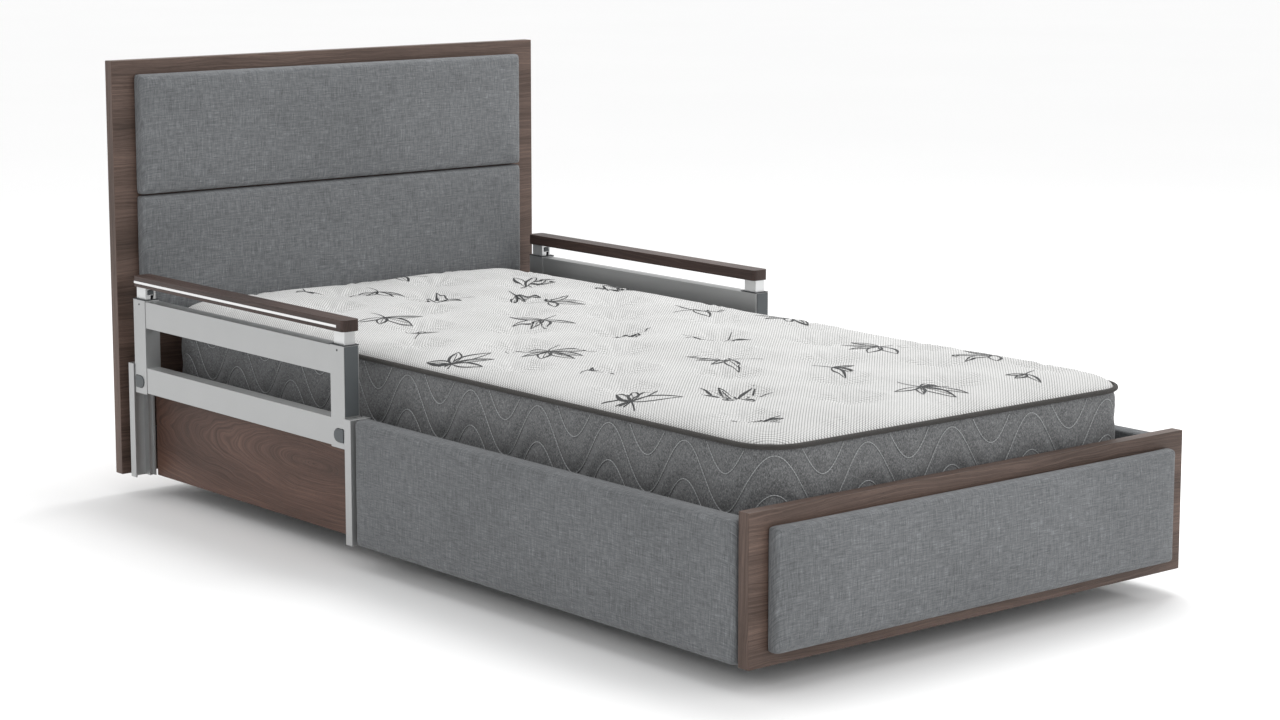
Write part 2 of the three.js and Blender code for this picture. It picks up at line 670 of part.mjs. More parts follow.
/** A rail guide: an upright channel that opens towards the rail, with a flange behind and a closed top. */
function railGuide(side, closedY, towardsRail) {
  const y = (distance) => closedY + towardsRail * distance;
  const points = [
    [GUIDE.outer, 0],
    [GUIDE.outer, GUIDE.depth],
    [GUIDE.outer - GUIDE.wall, GUIDE.depth],
    [GUIDE.outer - GUIDE.wall, GUIDE.wall],
    [GUIDE.inner + GUIDE.wall, GUIDE.wall],
    [GUIDE.inner + GUIDE.wall, GUIDE.depth],
    [GUIDE.inner, GUIDE.depth],
    [GUIDE.inner, GUIDE.depth - 3],
    [GUIDE_FLANGE.outer, GUIDE.depth - 3],
    [GUIDE_FLANGE.outer, GUIDE.depth + GUIDE_FLANGE.reach],
    [GUIDE_FLANGE.inner, GUIDE.depth + GUIDE_FLANGE.reach],
    [GUIDE_FLANGE.inner, 0],
  ];
  const section = outline(points.map(([x, distance]) => [side * x, y(distance)]));
  const top = SURROUND_BOTTOM + GUIDE.height;
  const lidY = sorted(y(0), y(GUIDE.depth));
  return build([
    prism('z', section, [SURROUND_BOTTOM, top]),
    block(outward(side, GUIDE.inner, GUIDE.outer), lidY, [top - 2, top]),
  ]);
}

/** A bullet-shaped outline in Y, Z: flat at the post's edge, round towards the rail's middle. */
function bulletOutline(flatY, towardsMiddle, grow) {
  const radius = RELEASE.high / 2 + grow;
  const straight = RELEASE.long - RELEASE.high / 2;
  const turn = towardsMiddle > 0 ? 0 : Math.PI;
  const shape = new THREE.Shape();
  const centreY = flatY + towardsMiddle * straight;
  shape.absarc(centreY, RELEASE.middle_z, radius, turn - Math.PI / 2, turn + Math.PI / 2, false);
  shape.lineTo(flatY - towardsMiddle * grow, RELEASE.middle_z + towardsMiddle * radius);
  shape.lineTo(flatY - towardsMiddle * grow, RELEASE.middle_z - towardsMiddle * radius);
  shape.closePath();
  return shape;
}

const RAIL_ENDS = {
  foot: { edge: RAIL.foot_y, inward: 1 },
  head: { edge: RAIL.head_y, inward: -1 },
};

/** A rail post: a square tube, with a tongue on its outer end that runs in the guide. */
function railPost(side, end) {
  const x = outward(side, RAIL.inner, RAIL.outer);
  const y = sorted(end.edge, end.edge + end.inward * RAIL_POST.width);
  const inside = (span) => [span[0] + RAIL_POST.wall, span[1] - RAIL_POST.wall];
  const tongue = block(
    outward(side, RAIL.inner + 9, RAIL.outer - 5),
    sorted(end.edge - end.inward * (GUIDE.depth - GUIDE.wall - 1), end.edge + end.inward),
    [RAIL.bottom + 4, SURROUND_BOTTOM + GUIDE.height - 3],
  );
  const buttonFlat = end.edge + end.inward * RELEASE.inset;
  return build([
    block(x, y, [RAIL.bottom, RAIL.top]),
    tongue,
  ], [
    block(inside(x), inside(y), [RAIL.bottom - 1, RAIL.top + 1]),
    prism('x', bulletOutline(buttonFlat, end.inward, 0.5), outward(side, RAIL.outer - 5, RAIL.outer + 1)),
  ]);
}

/** A crossbar: a rectangular tube between the posts. */
function crossbar(side, z) {
  const x = outward(side, RAIL.outer - CROSSBAR.inset - CROSSBAR.thin, RAIL.outer - CROSSBAR.inset);
  const y = [RAIL.foot_y + RAIL_POST.width + GAP, RAIL.head_y - RAIL_POST.width - GAP];
  const inside = (span) => [span[0] + CROSSBAR.wall, span[1] - CROSSBAR.wall];
  return build([block(x, y, z)], [block(inside(x), [y[0] - 1, y[1] + 1], inside(z))]);
}

/** The dark strip that closes the foot post's end face, above the guide. */
function postCover(side) {
  return block(
    outward(side, RAIL.inner + 3, RAIL.outer - 1),
    [RAIL.foot_y - 1.8, RAIL.foot_y - GAP],
    [SURROUND_BOTTOM + GUIDE.height + 3, RAIL.top - 1],
  );
}

/** The inner post that telescopes in a rail post and carries the handrail. */
function upperPost(side, end, hasCatch) {
  const middleY = end.edge + end.inward * RAIL_POST.width / 2;
  const y = [middleY - UPPER_POST.width / 2, middleY + UPPER_POST.width / 2];
  const z = [UPPER_POST.bottom, HANDRAIL.bottom + UPPER_POST.socket - GAP];
  const holes = hasCatch ? [catchBlock(side, 0.5, CATCH.deep + 4)] : [];
  return build([block(outward(side, UPPER_POST.inner, UPPER_POST.outer), y, z)], holes);
}

/** The catch button on the foot-facing side of the head-end upper post, or the pocket that it moves in. */
function catchBlock(side, grow, deep) {
  const middleX = (UPPER_POST.inner + UPPER_POST.outer) / 2;
  const faceY = RAIL.head_y - RAIL_POST.width / 2 - UPPER_POST.width / 2;
  return block(
    outward(side, middleX - CATCH.wide / 2 - grow, middleX + CATCH.wide / 2 + grow),
    [faceY - CATCH.proud, faceY + deep],
    [CATCH.middle_z - CATCH.high / 2 - grow, CATCH.middle_z + CATCH.high / 2 + grow],
  );
}

const HANDRAIL_Y = [RAIL.foot_y + HANDRAIL.end_gap, RAIL.head_y - HANDRAIL.end_gap];

/** The wooden handrail, with a groove for its metal strip and a socket for each upper post. */
function handrail(side) {
  const x = outward(side, HANDRAIL.inner, HANDRAIL.outer);
  const sockets = Object.values(RAIL_ENDS).map((end) => {
    const middleY = end.edge + end.inward * RAIL_POST.width / 2;
    const half = UPPER_POST.width / 2 + GAP;
    return block(
      outward(side, UPPER_POST.inner - GAP, UPPER_POST.outer + GAP),
      [middleY - half, middleY + half],
      [HANDRAIL.bottom - 1, HANDRAIL.bottom + UPPER_POST.socket],
    );
  });
  const groove = block(
    outward(side, HANDRAIL.outer - INLAY.deep, HANDRAIL.outer + 1),
    [HANDRAIL_Y[0] + INLAY.foot_stop - GAP, HANDRAIL_Y[1] - 5],
    [INLAY.low - GAP, INLAY.high + GAP],
  );
  return build([
    prism('z', roundedOutline(x, HANDRAIL_Y, HANDRAIL.corner), [HANDRAIL.bottom, HANDRAIL.top]),
  ], [...sockets, groove]);
}

function inlayStrip(side) {
  return block(
    outward(side, HANDRAIL.outer - INLAY.deep + GAP, HANDRAIL.outer + 0.3),
    [HANDRAIL_Y[0] + INLAY.foot_stop, HANDRAIL_Y[1] - 5 - GAP],
    [INLAY.low, INLAY.high],
  );
}

function releaseButton(side, end) {
  const flatY = end.edge + end.inward * RELEASE.inset;
  const depth = outward(side, RAIL.outer - RELEASE.deep, RAIL.outer + RELEASE.proud);
  return prism('x', bulletOutline(flatY, end.inward, 0), depth);
}

const GUIDES = {
  foot: { closedY: GUIDE.foot_y, towardsRail: 1 },
  head: { closedY: GUIDE_HEAD_Y + GUIDE.depth, towardsRail: -1 },
};

for (const [sideName, side] of Object.entries(SIDES)) {
  for (const [endName, end] of Object.entries(RAIL_ENDS)) {
    const { closedY, towardsRail } = GUIDES[endName];
    add('rails', `rail_guide_${endName}_${sideName}`, 'aluminium', railGuide(side, closedY, towardsRail));
    add('rails', `rail_post_${endName}_${sideName}`, 'aluminium', railPost(side, end));
    add('rails', `upper_post_${endName}_${sideName}`, 'aluminium', upperPost(side, end, endName === 'head'));
    add('rails', `release_button_${endName}_${sideName}`, 'dark_plastic', releaseButton(side, end));
  }
  add('rails', `rail_crossbar_upper_${sideName}`, 'aluminium', crossbar(side, CROSSBAR.upper));
  add('rails', `rail_crossbar_lower_${sideName}`, 'aluminium', crossbar(side, CROSSBAR.lower));
  add('rails', `rail_post_cover_${sideName}`, 'dark_plastic', postCover(side));
  add('rails', `handrail_${sideName}`, 'walnut', handrail(side));
  add('rails', `handrail_inlay_${sideName}`, 'bright_strip', inlayStrip(side));
  add('rails', `catch_button_${sideName}`, 'dark_plastic', catchBlock(side, 0, CATCH.deep));
}

export default bed;
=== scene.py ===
"""Looks of the adjustable bed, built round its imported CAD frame. Metres; +X right, +Y to the head, +Z up."""

import json
import math
import random

import bmesh
import bpy
import numpy as np
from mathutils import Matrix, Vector


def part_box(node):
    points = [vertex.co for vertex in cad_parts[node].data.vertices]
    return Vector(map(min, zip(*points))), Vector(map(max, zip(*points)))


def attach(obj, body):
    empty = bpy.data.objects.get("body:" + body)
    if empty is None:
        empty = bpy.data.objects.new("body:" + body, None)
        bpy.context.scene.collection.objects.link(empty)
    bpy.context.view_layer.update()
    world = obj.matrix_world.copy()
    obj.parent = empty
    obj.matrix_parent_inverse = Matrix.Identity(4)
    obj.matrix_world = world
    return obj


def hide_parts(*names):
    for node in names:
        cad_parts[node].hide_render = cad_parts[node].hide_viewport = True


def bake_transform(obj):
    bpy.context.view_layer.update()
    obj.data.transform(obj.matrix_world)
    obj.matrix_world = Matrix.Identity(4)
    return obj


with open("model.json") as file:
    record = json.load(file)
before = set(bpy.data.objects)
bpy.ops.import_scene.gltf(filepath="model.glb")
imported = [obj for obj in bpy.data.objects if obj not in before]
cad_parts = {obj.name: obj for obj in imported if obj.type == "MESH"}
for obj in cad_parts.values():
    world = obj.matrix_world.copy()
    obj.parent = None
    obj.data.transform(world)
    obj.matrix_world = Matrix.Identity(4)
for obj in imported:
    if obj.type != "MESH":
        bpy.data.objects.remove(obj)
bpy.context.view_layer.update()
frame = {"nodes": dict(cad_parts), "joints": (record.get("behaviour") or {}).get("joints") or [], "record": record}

SIDES = {"left": -1, "right": 1}
ENDS = ("foot", "head")
MM = 0.001


# ---------------------------------------------------------------- node trees


def linear(hex_colour):
    """A colour written as rrggbb, as linear RGBA."""
    def channel(text):
        value = int(text, 16) / 255
        return value / 12.92 if value <= 0.04045 else ((value + 0.055) / 1.055) ** 2.4

    return tuple(channel(hex_colour[i:i + 2]) for i in (0, 2, 4)) + (1.0,)


class Surface:
    """One material and short ways to add nodes to it. Every method returns an output socket."""

    def __init__(self, name, roughness, metallic=0.0, **constants):
        self.material = bpy.data.materials.new(name)
        self.material.use_nodes = True
        self.tree = self.material.node_tree
        self.shader = self.tree.nodes["Principled BSDF"]
        self.set("Roughness", roughness)
        self.set("Metallic", metallic)
        for key, value in constants.items():
            self.set(key.replace("_", " "), value)

    def set(self, socket, value):
        self.feed(self.shader.inputs[socket], value)

    def feed(self, socket, value):
        if isinstance(value, bpy.types.NodeSocket):
            self.tree.links.new(value, socket)
        else:
            socket.default_value = value

    def node(self, kind, inputs=(), **settings):
        made = self.tree.nodes.new("ShaderNode" + kind)
        for key, value in settings.items():
            setattr(made, key, value)
        for key, value in dict(inputs).items():
            self.feed(made.inputs[key], value)
        return made

    def math(self, operation, a, b=0.0, clamp=False):
        return self.node("Math", {0: a, 1: b}, operation=operation, use_clamp=clamp).outputs[0]

    def sum(self, *values):
        total = values[0]
        for value in values[1:]:
            total = self.math("ADD", total, value)
        return total

    def scaled(self, value, factor):
        return self.math("MULTIPLY", value, factor)

    def place(self):
        """X, Y and Z of the surface point, in the model's frame."""
        split = self.node("SeparateXYZ", {0: self.node("TexCoord").outputs["Object"]})
        return split.outputs[0], split.outputs[1], split.outputs[2]

    def rest_place(self):
        """The same for a mesh that bends: it reads where the point was at rest."""
        split = self.node("SeparateXYZ", {0: self.node("Attribute", attribute_name="rest").outputs["Vector"]})
        return split.outputs[0], split.outputs[1], split.outputs[2]

    def vector(self, x, y, z=0.0):
        return self.node("CombineXYZ", {0: x, 1: y, 2: z}).outputs[0]

    def noise(self, vector, scale, detail=2.0, roughness=0.5, distortion=0.0):
        return self.node("TexNoise", {
            "Vector": vector,
            "Scale": scale,
            "Detail": detail,
            "Roughness": roughness,
            "Distortion": distortion,
        }).outputs["Fac"]

    def ramp(self, factor, stops):
        """stops is [(position, rrggbb or a number), ...]."""
        made = self.node("ValToRGB", {0: factor})
        band = made.color_ramp
        while len(band.elements) < len(stops):
            band.elements.new(0.5)
        for element, (position, colour) in zip(band.elements, stops):
            element.position = position
            element.color = linear(colour) if isinstance(colour, str) else (colour, colour, colour, 1)
        return made.outputs["Color"]

    def mix(self, factor, a, b, blend="MIX"):
        made = self.node("Mix", data_type="RGBA", blend_type=blend)
        self.feed(made.inputs[0], factor)
        self.feed(made.inputs[6], a)
        self.feed(made.inputs[7], b)
        return made.outputs[2]

    def bump(self, height, distance, strength=1.0):
        made = self.node("Bump", {"Height": height, "Distance": distance, "Strength": strength})
        self.set("Normal", made.outputs[0])


# ---------------------------------------------------------------- materials


PLAIN_WALNUT = ("382b24", "4c3c34", "594840", "66534a", "756055")


def walnut(name, grain, colours=PLAIN_WALNUT, heart=None):
    """Dark walnut with its grain along X or Y. Faces across the grain carry an upright edge strip.

    heart is how far along the board and how high the middle of its arched figure lies, if it has one.
    """
    s = Surface(name, 0.5, Specular_IOR_Level=0.35)
    x, y, z = s.place()
    facing = s.node("SeparateXYZ", {0: s.node("TexCoord").outputs["Normal"]})
    along, depth, end = (x, y, facing.outputs[0]) if grain == "x" else (y, x, facing.outputs[1])
    is_end = s.math("GREATER_THAN", s.math("ABSOLUTE", end), 0.7)
    length = s.node("Mix", {0: is_end, 2: along, 3: z}, data_type="FLOAT").outputs[0]
    slanted = s.math("ADD", z, s.scaled(depth, 0.6))
    width = s.node("Mix", {0: is_end, 2: slanted, 3: depth}, data_type="FLOAT").outputs[0]
    warp = s.noise(s.vector(s.scaled(length, 2.2), s.scaled(width, 7.0)), 1.0, 3, 0.55, 0.3)
    if heart:
        reach = s.scaled(s.math("SUBTRACT", length, heart[0]), 0.16)
        rise = s.math("SUBTRACT", width, heart[1])
        squares = s.math("ADD", s.math("MULTIPLY", reach, reach), s.math("MULTIPLY", rise, rise))
        width = s.math("SQRT", squares)
    bent = s.math("ADD", width, s.scaled(warp, 0.055))
    rings = s.math("SINE", s.scaled(bent, 640.0))
    fibre = s.noise(s.vector(s.scaled(length, 6.0), s.scaled(bent, 420.0)), 1.0, 4, 0.62)
    pores = s.noise(s.vector(s.scaled(length, 42.0), s.scaled(bent, 1500.0)), 1.0, 2, 0.5)
    tone = s.noise(s.vector(s.scaled(length, 1.3), s.scaled(width, 16.0)), 1.0, 4, 0.55)
    figure = s.sum(s.scaled(rings, 0.018), s.scaled(fibre, 0.5), s.scaled(tone, 0.5))
    colour = s.ramp(figure, list(zip((0.34, 0.44, 0.52, 0.6, 0.7), colours)))
    pore_mask = s.ramp(pores, [(0.34, 1.0), (0.43, 0.0)])
    s.set("Base Color", s.mix(s.scaled(pore_mask, 0.5), colour, linear("2c221d")))
    s.set("Roughness", s.ramp(figure, [(0.3, 0.56), (0.7, 0.42)]))
    s.bump(s.math("SUBTRACT", s.scaled(fibre, 0.6), s.scaled(pore_mask, 0.5)), 0.25 * MM)
    return s.material


def linen(name, depth_axis, colours=("4c4e50", "626466", "747678", "94979a")):
    """Mid-grey slubbed linen on a panel whose thickness runs along X or Y."""
    s = Surface(name, 0.92, Specular_IOR_Level=0.2, Sheen_Weight=0.12, Sheen_Roughness=0.5)
    x, y, z = s.place()
    u = s.math("ADD", x, y)
    v = s.math("ADD", z, y if depth_axis == "y" else x)
    weft = s.noise(s.vector(s.scaled(u, 52.0), s.scaled(v, 820.0)), 1.0, 3, 0.65)
    warp = s.noise(s.vector(s.scaled(u, 820.0), s.scaled(v, 52.0), 7.0), 1.0, 3, 0.65)
    long_slub = s.noise(s.vector(s.scaled(u, 20.0), s.scaled(v, 330.0), 3.0), 1.0, 2, 0.5)
    tall_slub = s.noise(s.vector(s.scaled(u, 330.0), s.scaled(v, 20.0), 5.0), 1.0, 2, 0.5)
    cloud = s.noise(s.vector(u, v), 3.0, 2, 0.5)
    thread = 2 * math.pi / 0.0019
    weave = s.math("MULTIPLY", s.math("SINE", s.scaled(u, thread)), s.math("SINE", s.scaled(v, thread)))
    figure = s.sum(
        s.scaled(weft, 0.3), s.scaled(warp, 0.3), s.scaled(long_slub, 0.16), s.scaled(tall_slub, 0.16),
        s.scaled(cloud, 0.08), s.scaled(weave, 0.03),
    )
    s.set("Base Color", s.ramp(figure, list(zip((0.38, 0.46, 0.54, 0.63), colours))))
    s.bump(s.sum(s.scaled(weave, 0.3), s.scaled(weft, 0.8), s.scaled(warp, 0.8)), 0.4 * MM)
    return s.material


def knit(name):
    """Off-white mattress top: a double knit with a small diamond relief."""
    s = Surface(name, 0.95, Specular_IOR_Level=0.15, Sheen_Weight=0.1)
    x, y, _ = s.rest_place()
    diagonal = 2 * math.pi / 0.0145
    a = s.math("SINE", s.scaled(s.math("ADD", x, y), diagonal))
    b = s.math("SINE", s.scaled(s.math("SUBTRACT", x, y), diagonal))
    diamond = s.math("MULTIPLY", a, b)
    stitch = s.noise(s.vector(s.scaled(x, 1.0), s.scaled(y, 1.0)), 900.0, 2, 0.5)
    soft = s.noise(s.vector(x, y), 6.0, 3, 0.5)
    relief = s.math("ABSOLUTE", diamond)
    shade = s.sum(s.scaled(relief, 0.7), s.scaled(stitch, 0.2), s.scaled(soft, 0.2))
    s.set("Base Color", s.ramp(shade, [(0.2, "7c7c7b"), (0.34, "b9b9b8"), (0.52, "d8d8d7")]))
    s.bump(s.math("ADD", s.scaled(relief, 1.0), s.scaled(stitch, 0.3)), 1.1 * MM)
    return s.material


def heather(name, colours=("4a4b4c", "606162", "727374", "909192")):
    """Dark grey melange cloth of the mattress's border."""
    s = Surface(name, 0.95, Specular_IOR_Level=0.15, Sheen_Weight=0.15)
    x, y, z = s.rest_place()
    flecks = s.noise(s.vector(x, y, s.scaled(z, 0.5)), 560.0, 3, 0.7)
    blotch = s.noise(s.vector(x, y, z), 170.0, 3, 0.6)
    figure = s.math("ADD", s.scaled(flecks, 0.75), s.scaled(blotch, 0.25))
    s.set("Base Color", s.ramp(figure, list(zip((0.36, 0.46, 0.54, 0.66), colours))))
    s.bump(flecks, 0.6 * MM)
    return s.material


def twill_tape(name, colour):
    """Woven tape round the mattress's edges."""
    s = Surface(name, 0.85, Specular_IOR_Level=0.2, Sheen_Weight=0.1)
    x, y, z = s.rest_place()
    ribs = s.math("SINE", s.scaled(s.sum(x, y, s.scaled(z, 1.4)), 2 * math.pi / 0.0022))
    dust = s.noise(s.vector(x, y, z), 300.0, 2, 0.5)
    s.set("Base Color", s.mix(s.scaled(dust, 0.5), linear(colour), linear("55524f")))
    s.bump(ribs, 0.3 * MM)
    return s.material


def thread(name, colours, pitch):
    """Sewing thread or ink in short stitches, read from how far along its line a point lies."""
    s = Surface(name, 0.7, Specular_IOR_Level=0.3)
    along = s.node("Attribute", attribute_name="along").outputs["Fac"]
    phase = s.math("SINE", s.scaled(along, 2 * math.pi / pitch))
    share = s.math("ADD", s.scaled(phase, 0.5), 0.5)
    s.set("Base Color", s.ramp(share, [(0.1, colours[0]), (0.5, colours[1])]))
    s.bump(phase, 0.2 * MM)
    return s.material


def satin_metal(name, colour, roughness, brushed_along="y", metallic=1.0):
    """Anodised aluminium or bright steel with fine lines along one axis."""
    s = Surface(name, roughness, metallic)
    x, y, z = s.place()
    stretch = {"x": (4.0, 900.0, 900.0), "y": (900.0, 4.0, 900.0), "z": (900.0, 900.0, 4.0)}[brushed_along]
    lines = s.noise(s.vector(*(s.scaled(v, k) for v, k in zip((x, y, z), stretch))), 1.0, 2, 0.6)
    haze = s.noise(s.vector(x, y, z), 14.0, 3, 0.5)
    darker = tuple(0.86 * c for c in linear(colour)[:3]) + (1.0,)
    share = s.math("ADD", s.scaled(lines, 0.5), s.scaled(haze, 0.4), clamp=True)
    s.set("Base Color", s.mix(share, darker, linear(colour)))
    s.set("Roughness", s.math("ADD", s.scaled(lines, 0.12), roughness - 0.06))
    s.bump(lines, 0.02 * MM)
    return s.material


def moulded(name, colour, roughness=0.55, grain=420.0, depth=0.08):
    """Moulded plastic or rubber with a fine grain."""
    s = Surface(name, roughness, Specular_IOR_Level=0.4)
    x, y, z = s.place()
    pebble = s.noise(s.vector(x, y, z), grain, 3, 0.6)
    wear = s.noise(s.vector(x, y, z), 25.0, 3, 0.5)
    lighter = tuple(min(1.0, 1.35 * c + 0.01) for c in linear(colour)[:3]) + (1.0,)
    s.set("Base Color", s.mix(s.scaled(wear, 0.7), linear(colour), lighter))
    s.bump(pebble, depth * MM)
    return s.material


def powder_coat(name, colour):
    """Steel with a slightly pebbled powder coat."""
    s = Surface(name, 0.5, 0.0, Specular_IOR_Level=0.5, Coat_Weight=0.15, Coat_Roughness=0.35)
    x, y, z = s.place()
    peel = s.noise(s.vector(x, y, z), 260.0, 2, 0.5)
    dust = s.noise(s.vector(x, y, z), 9.0, 4, 0.6)
    lighter = tuple(1.5 * c + 0.01 for c in linear(colour)[:3]) + (1.0,)
    s.set("Base Color", s.mix(s.scaled(dust, 0.6), linear(colour), lighter))
    s.bump(peel, 0.15 * MM)
    return s.material


def floor_finish(name):
    s = Surface(name, 0.75, Specular_IOR_Level=0.2)
    x, y, z = s.place()
    cloud = s.noise(s.vector(x, y, z), 0.6, 2, 0.5)
    s.set("Base Color", s.mix(cloud, linear("fafafa"), linear("fdfdfd")))
    return s.material


WALNUT = {
    "board": walnut("walnut_board", "x"),
    "rail_panel": walnut(
        "walnut_rail_panel", "y", ("36231a", "493228", "563c31", "64483b", "725446"), (0.34, -0.14),
    ),
    # The handrails' walnut is the plain walnut made darker: painted shade on the handrails.
    "handrail": walnut("walnut_handrail", "y", ("241a16", "332621", "3f2f2a", "4b3a33", "59463e")),
}
# The side linen is the end linen made a little darker: painted shade on the side panels.
LINEN = {"y": linen("linen_end", "y"), "x": linen("linen_side", "x", ("484a4c", "5d5f61", "6e7072", "8d9093"))}
KNIT = knit("mattress_knit")
HEATHER = heather("mattress_border_cloth")
TAPE = twill_tape("mattress_tape", "3a3836")
STITCHING = thread("stitching_thread", ("8d8f90", "acaeaf"), 0.006)
INK = thread("leaf_print_ink", ("2c2d2e", "3a3b3c"), 0.003)
SLOT_MATERIALS = {
    "rail_aluminium": satin_metal("satin_aluminium", "b5b6b6", 0.42, "y", 0.75),
    "post_aluminium": satin_metal("pale_aluminium", "dedfdf", 0.32, "z", 0.7),
    "bright_strip": satin_metal("polished_strip", "f0f0f0", 0.14, "y"),
    "dark_plastic": moulded("dark_plastic", "4b4f51", 0.5),
    "frame_paint": powder_coat("frame_powder_coat", "3b3e41"),
    "actuator_plastic": moulded("actuator_plastic", "8c9093", 0.55, 300.0, 0.1),
    "rod_steel": satin_metal("drawn_steel", "b4b6b8", 0.2, "y"),
    "foot_rubber": moulded("foot_rubber", "232425", 0.8, 500.0, 0.15),
}
GASKET_RUBBER = moulded("gasket_rubber", "3a3c3e", 0.75)
SCREW_BLACK = moulded("black_screw", "111213", 0.4)


# ---------------------------------------------------------------- carried-over CAD nodes

# Bevel widths, in millimetres.
BEVELS = {"walnut": 1.2, "rail_aluminium": 0.9, "post_aluminium": 1.2, "bright_strip": 0.8, "dark_plastic": 0.8}
HANDRAIL_BEVEL = 3.5
PLAIN_BEVEL = 0.8
SHARP_ANGLE = math.radians(38)
WELD_DISTANCE = 0.02 * MM


def smoothing_group():
    """Geometry nodes that weld a faceted mesh and shade it smooth except on its real edges."""
    tree = bpy.data.node_groups.new("weld_and_smooth", "GeometryNodeTree")
    tree.interface.new_socket("Geometry", in_out="INPUT", socket_type="NodeSocketGeometry")
    tree.interface.new_socket("Geometry", in_out="OUTPUT", socket_type="NodeSocketGeometry")
    start, end = tree.nodes.new("NodeGroupInput"), tree.nodes.new("NodeGroupOutput")
    clean = tree.nodes.new("GeometryNodeRemoveAttribute")
    clean.inputs["Name"].default_value = "custom_normal"
    weld = tree.nodes.new("GeometryNodeMergeByDistance")
    weld.inputs["Distance"].default_value = WELD_DISTANCE
    angle = tree.nodes.new("GeometryNodeInputMeshEdgeAngle")
    sharp = tree.nodes.new("FunctionNodeCompare")
    sharp.data_type, sharp.operation = "FLOAT", "GREATER_THAN"
    sharp.inputs[1].default_value = SHARP_ANGLE
    smooth = tree.nodes.new("GeometryNodeSetShadeSmooth")
    crease = tree.nodes.new("GeometryNodeSetShadeSmooth")
    crease.domain = "EDGE"
    crease.inputs["Shade Smooth"].default_value = False
    wires = [
        (start.outputs[0], clean.inputs["Geometry"]),
        (clean.outputs[0], weld.inputs["Geometry"]),
        (weld.outputs[0], smooth.inputs["Geometry"]),
        (smooth.outputs[0], crease.inputs["Geometry"]),
        (angle.outputs["Unsigned Angle"], sharp.inputs[0]),
        (sharp.outputs[0], crease.inputs["Selection"]),
        (crease.outputs[0], end.inputs[0]),
    ]
    for output, socket in wires:
        tree.links.new(output, socket)
    return tree


SMOOTHING = smoothing_group()


def soften(obj, width_mm):
    """Small round edges on a hard piece, as modifiers, so that its own mesh stays as it is."""
    obj.modifiers.new("Weld and smooth", "NODES").node_group = SMOOTHING
    bevel = obj.modifiers.new("Round edges", "BEVEL")
    bevel.width = width_mm * MM
    bevel.segments = 2
    bevel.limit_method = "ANGLE"
    bevel.angle_limit = SHARP_ANGLE
    bevel.harden_normals = True


def dress_cad_nodes():
    slot_of = {part["node"]: part["material_slot"] for part in frame["record"]["subparts"]}
    handrails = [f"handrail_{side}" for side in SIDES]
    for name, obj in frame["nodes"].items():
        slot = slot_of[name]
        if slot == "walnut":
            # Nodes named handrail take the darker walnut copy, which paints shade on them.
            kinds = [kind for kind in WALNUT if name.startswith(kind)]
            material = WALNUT[kinds[0] if kinds else "board"]
        else:
            material = SLOT_MATERIALS.get(slot)
        if material is None:
            continue
        obj.data.materials.clear()
        obj.data.materials.append(material)
        soften(obj, HANDRAIL_BEVEL if name in handrails else BEVELS.get(slot, PLAIN_BEVEL))


dress_cad_nodes()


# ---------------------------------------------------------------- meshes


def mesh_object(name, points, faces, materials):
    mesh = bpy.data.meshes.new(name)
    mesh.from_pydata([tuple(p) for p in points], [], faces)
    mesh.update()
    mesh.shade_smooth()
    for material in materials:
        mesh.materials.append(material)
    obj = bpy.data.objects.new(name, mesh)
    bpy.context.scene.collection.objects.link(obj)
    return obj


def store(obj, name, kind, values):
    """Keeps a value for every point of a mesh, for its material to read."""
    attribute = obj.data.attributes.new(name, kind, "POINT")
    field = "vector" if kind == "FLOAT_VECTOR" else "value"
    attribute.data.foreach_set(field, np.asarray(values, np.float32).ravel())


def keep_rest(obj):
    points = np.zeros(len(obj.data.vertices) * 3, np.float32)
    obj.data.vertices.foreach_get("co", points)
    store(obj, "rest", "FLOAT_VECTOR", points)


def box_mesh(name, low, high, material, bevel_mm=0.6):
    """A small hard piece with round edges."""
    made = bmesh.new()
    bmesh.ops.create_cube(made, size=1.0)
    low, high = Vector(low), Vector(high)
    for vertex in made.verts:
        vertex.co = Vector((low[i] + (vertex.co[i] + 0.5) * (high[i] - low[i]) for i in range(3)))
    bmesh.ops.bevel(
        made, geom=list(made.edges), offset=bevel_mm * MM, segments=2, affect="EDGES", profile=0.6,
    )
    return finish_bmesh(name, made, material)


def finish_bmesh(name, made, material):
    mesh = bpy.data.meshes.new(name)
    bmesh.ops.recalc_face_normals(made, faces=list(made.faces))
    made.to_mesh(mesh)
    made.free()
    mesh.materials.append(material)
    obj = bpy.data.objects.new(name, mesh)
    bpy.context.scene.collection.objects.link(obj)
    return obj


# ---------------------------------------------------------------- upholstered panels

VOXEL = 6 * MM
PANEL_RADIUS = 7 * MM
PUFF = 2 * MM                    # furthest that a point of the cloth moves
PRESSURE = 4.0
HELD_DEPTH = 2.0 * MM            # the cloth is glued down this far from the panel's back


def coordinates(mesh):
    points = np.zeros(len(mesh.vertices) * 3)
    mesh.vertices.foreach_get("co", points)
    return points.reshape(-1, 3)


def apply_modifiers(obj):
    """Replaces the object's mesh by what its modifiers make."""
    graph = bpy.context.evaluated_depsgraph_get()
    made = bpy.data.meshes.new_from_object(obj.evaluated_get(graph))
    obj.modifiers.clear()
    obj.data = made


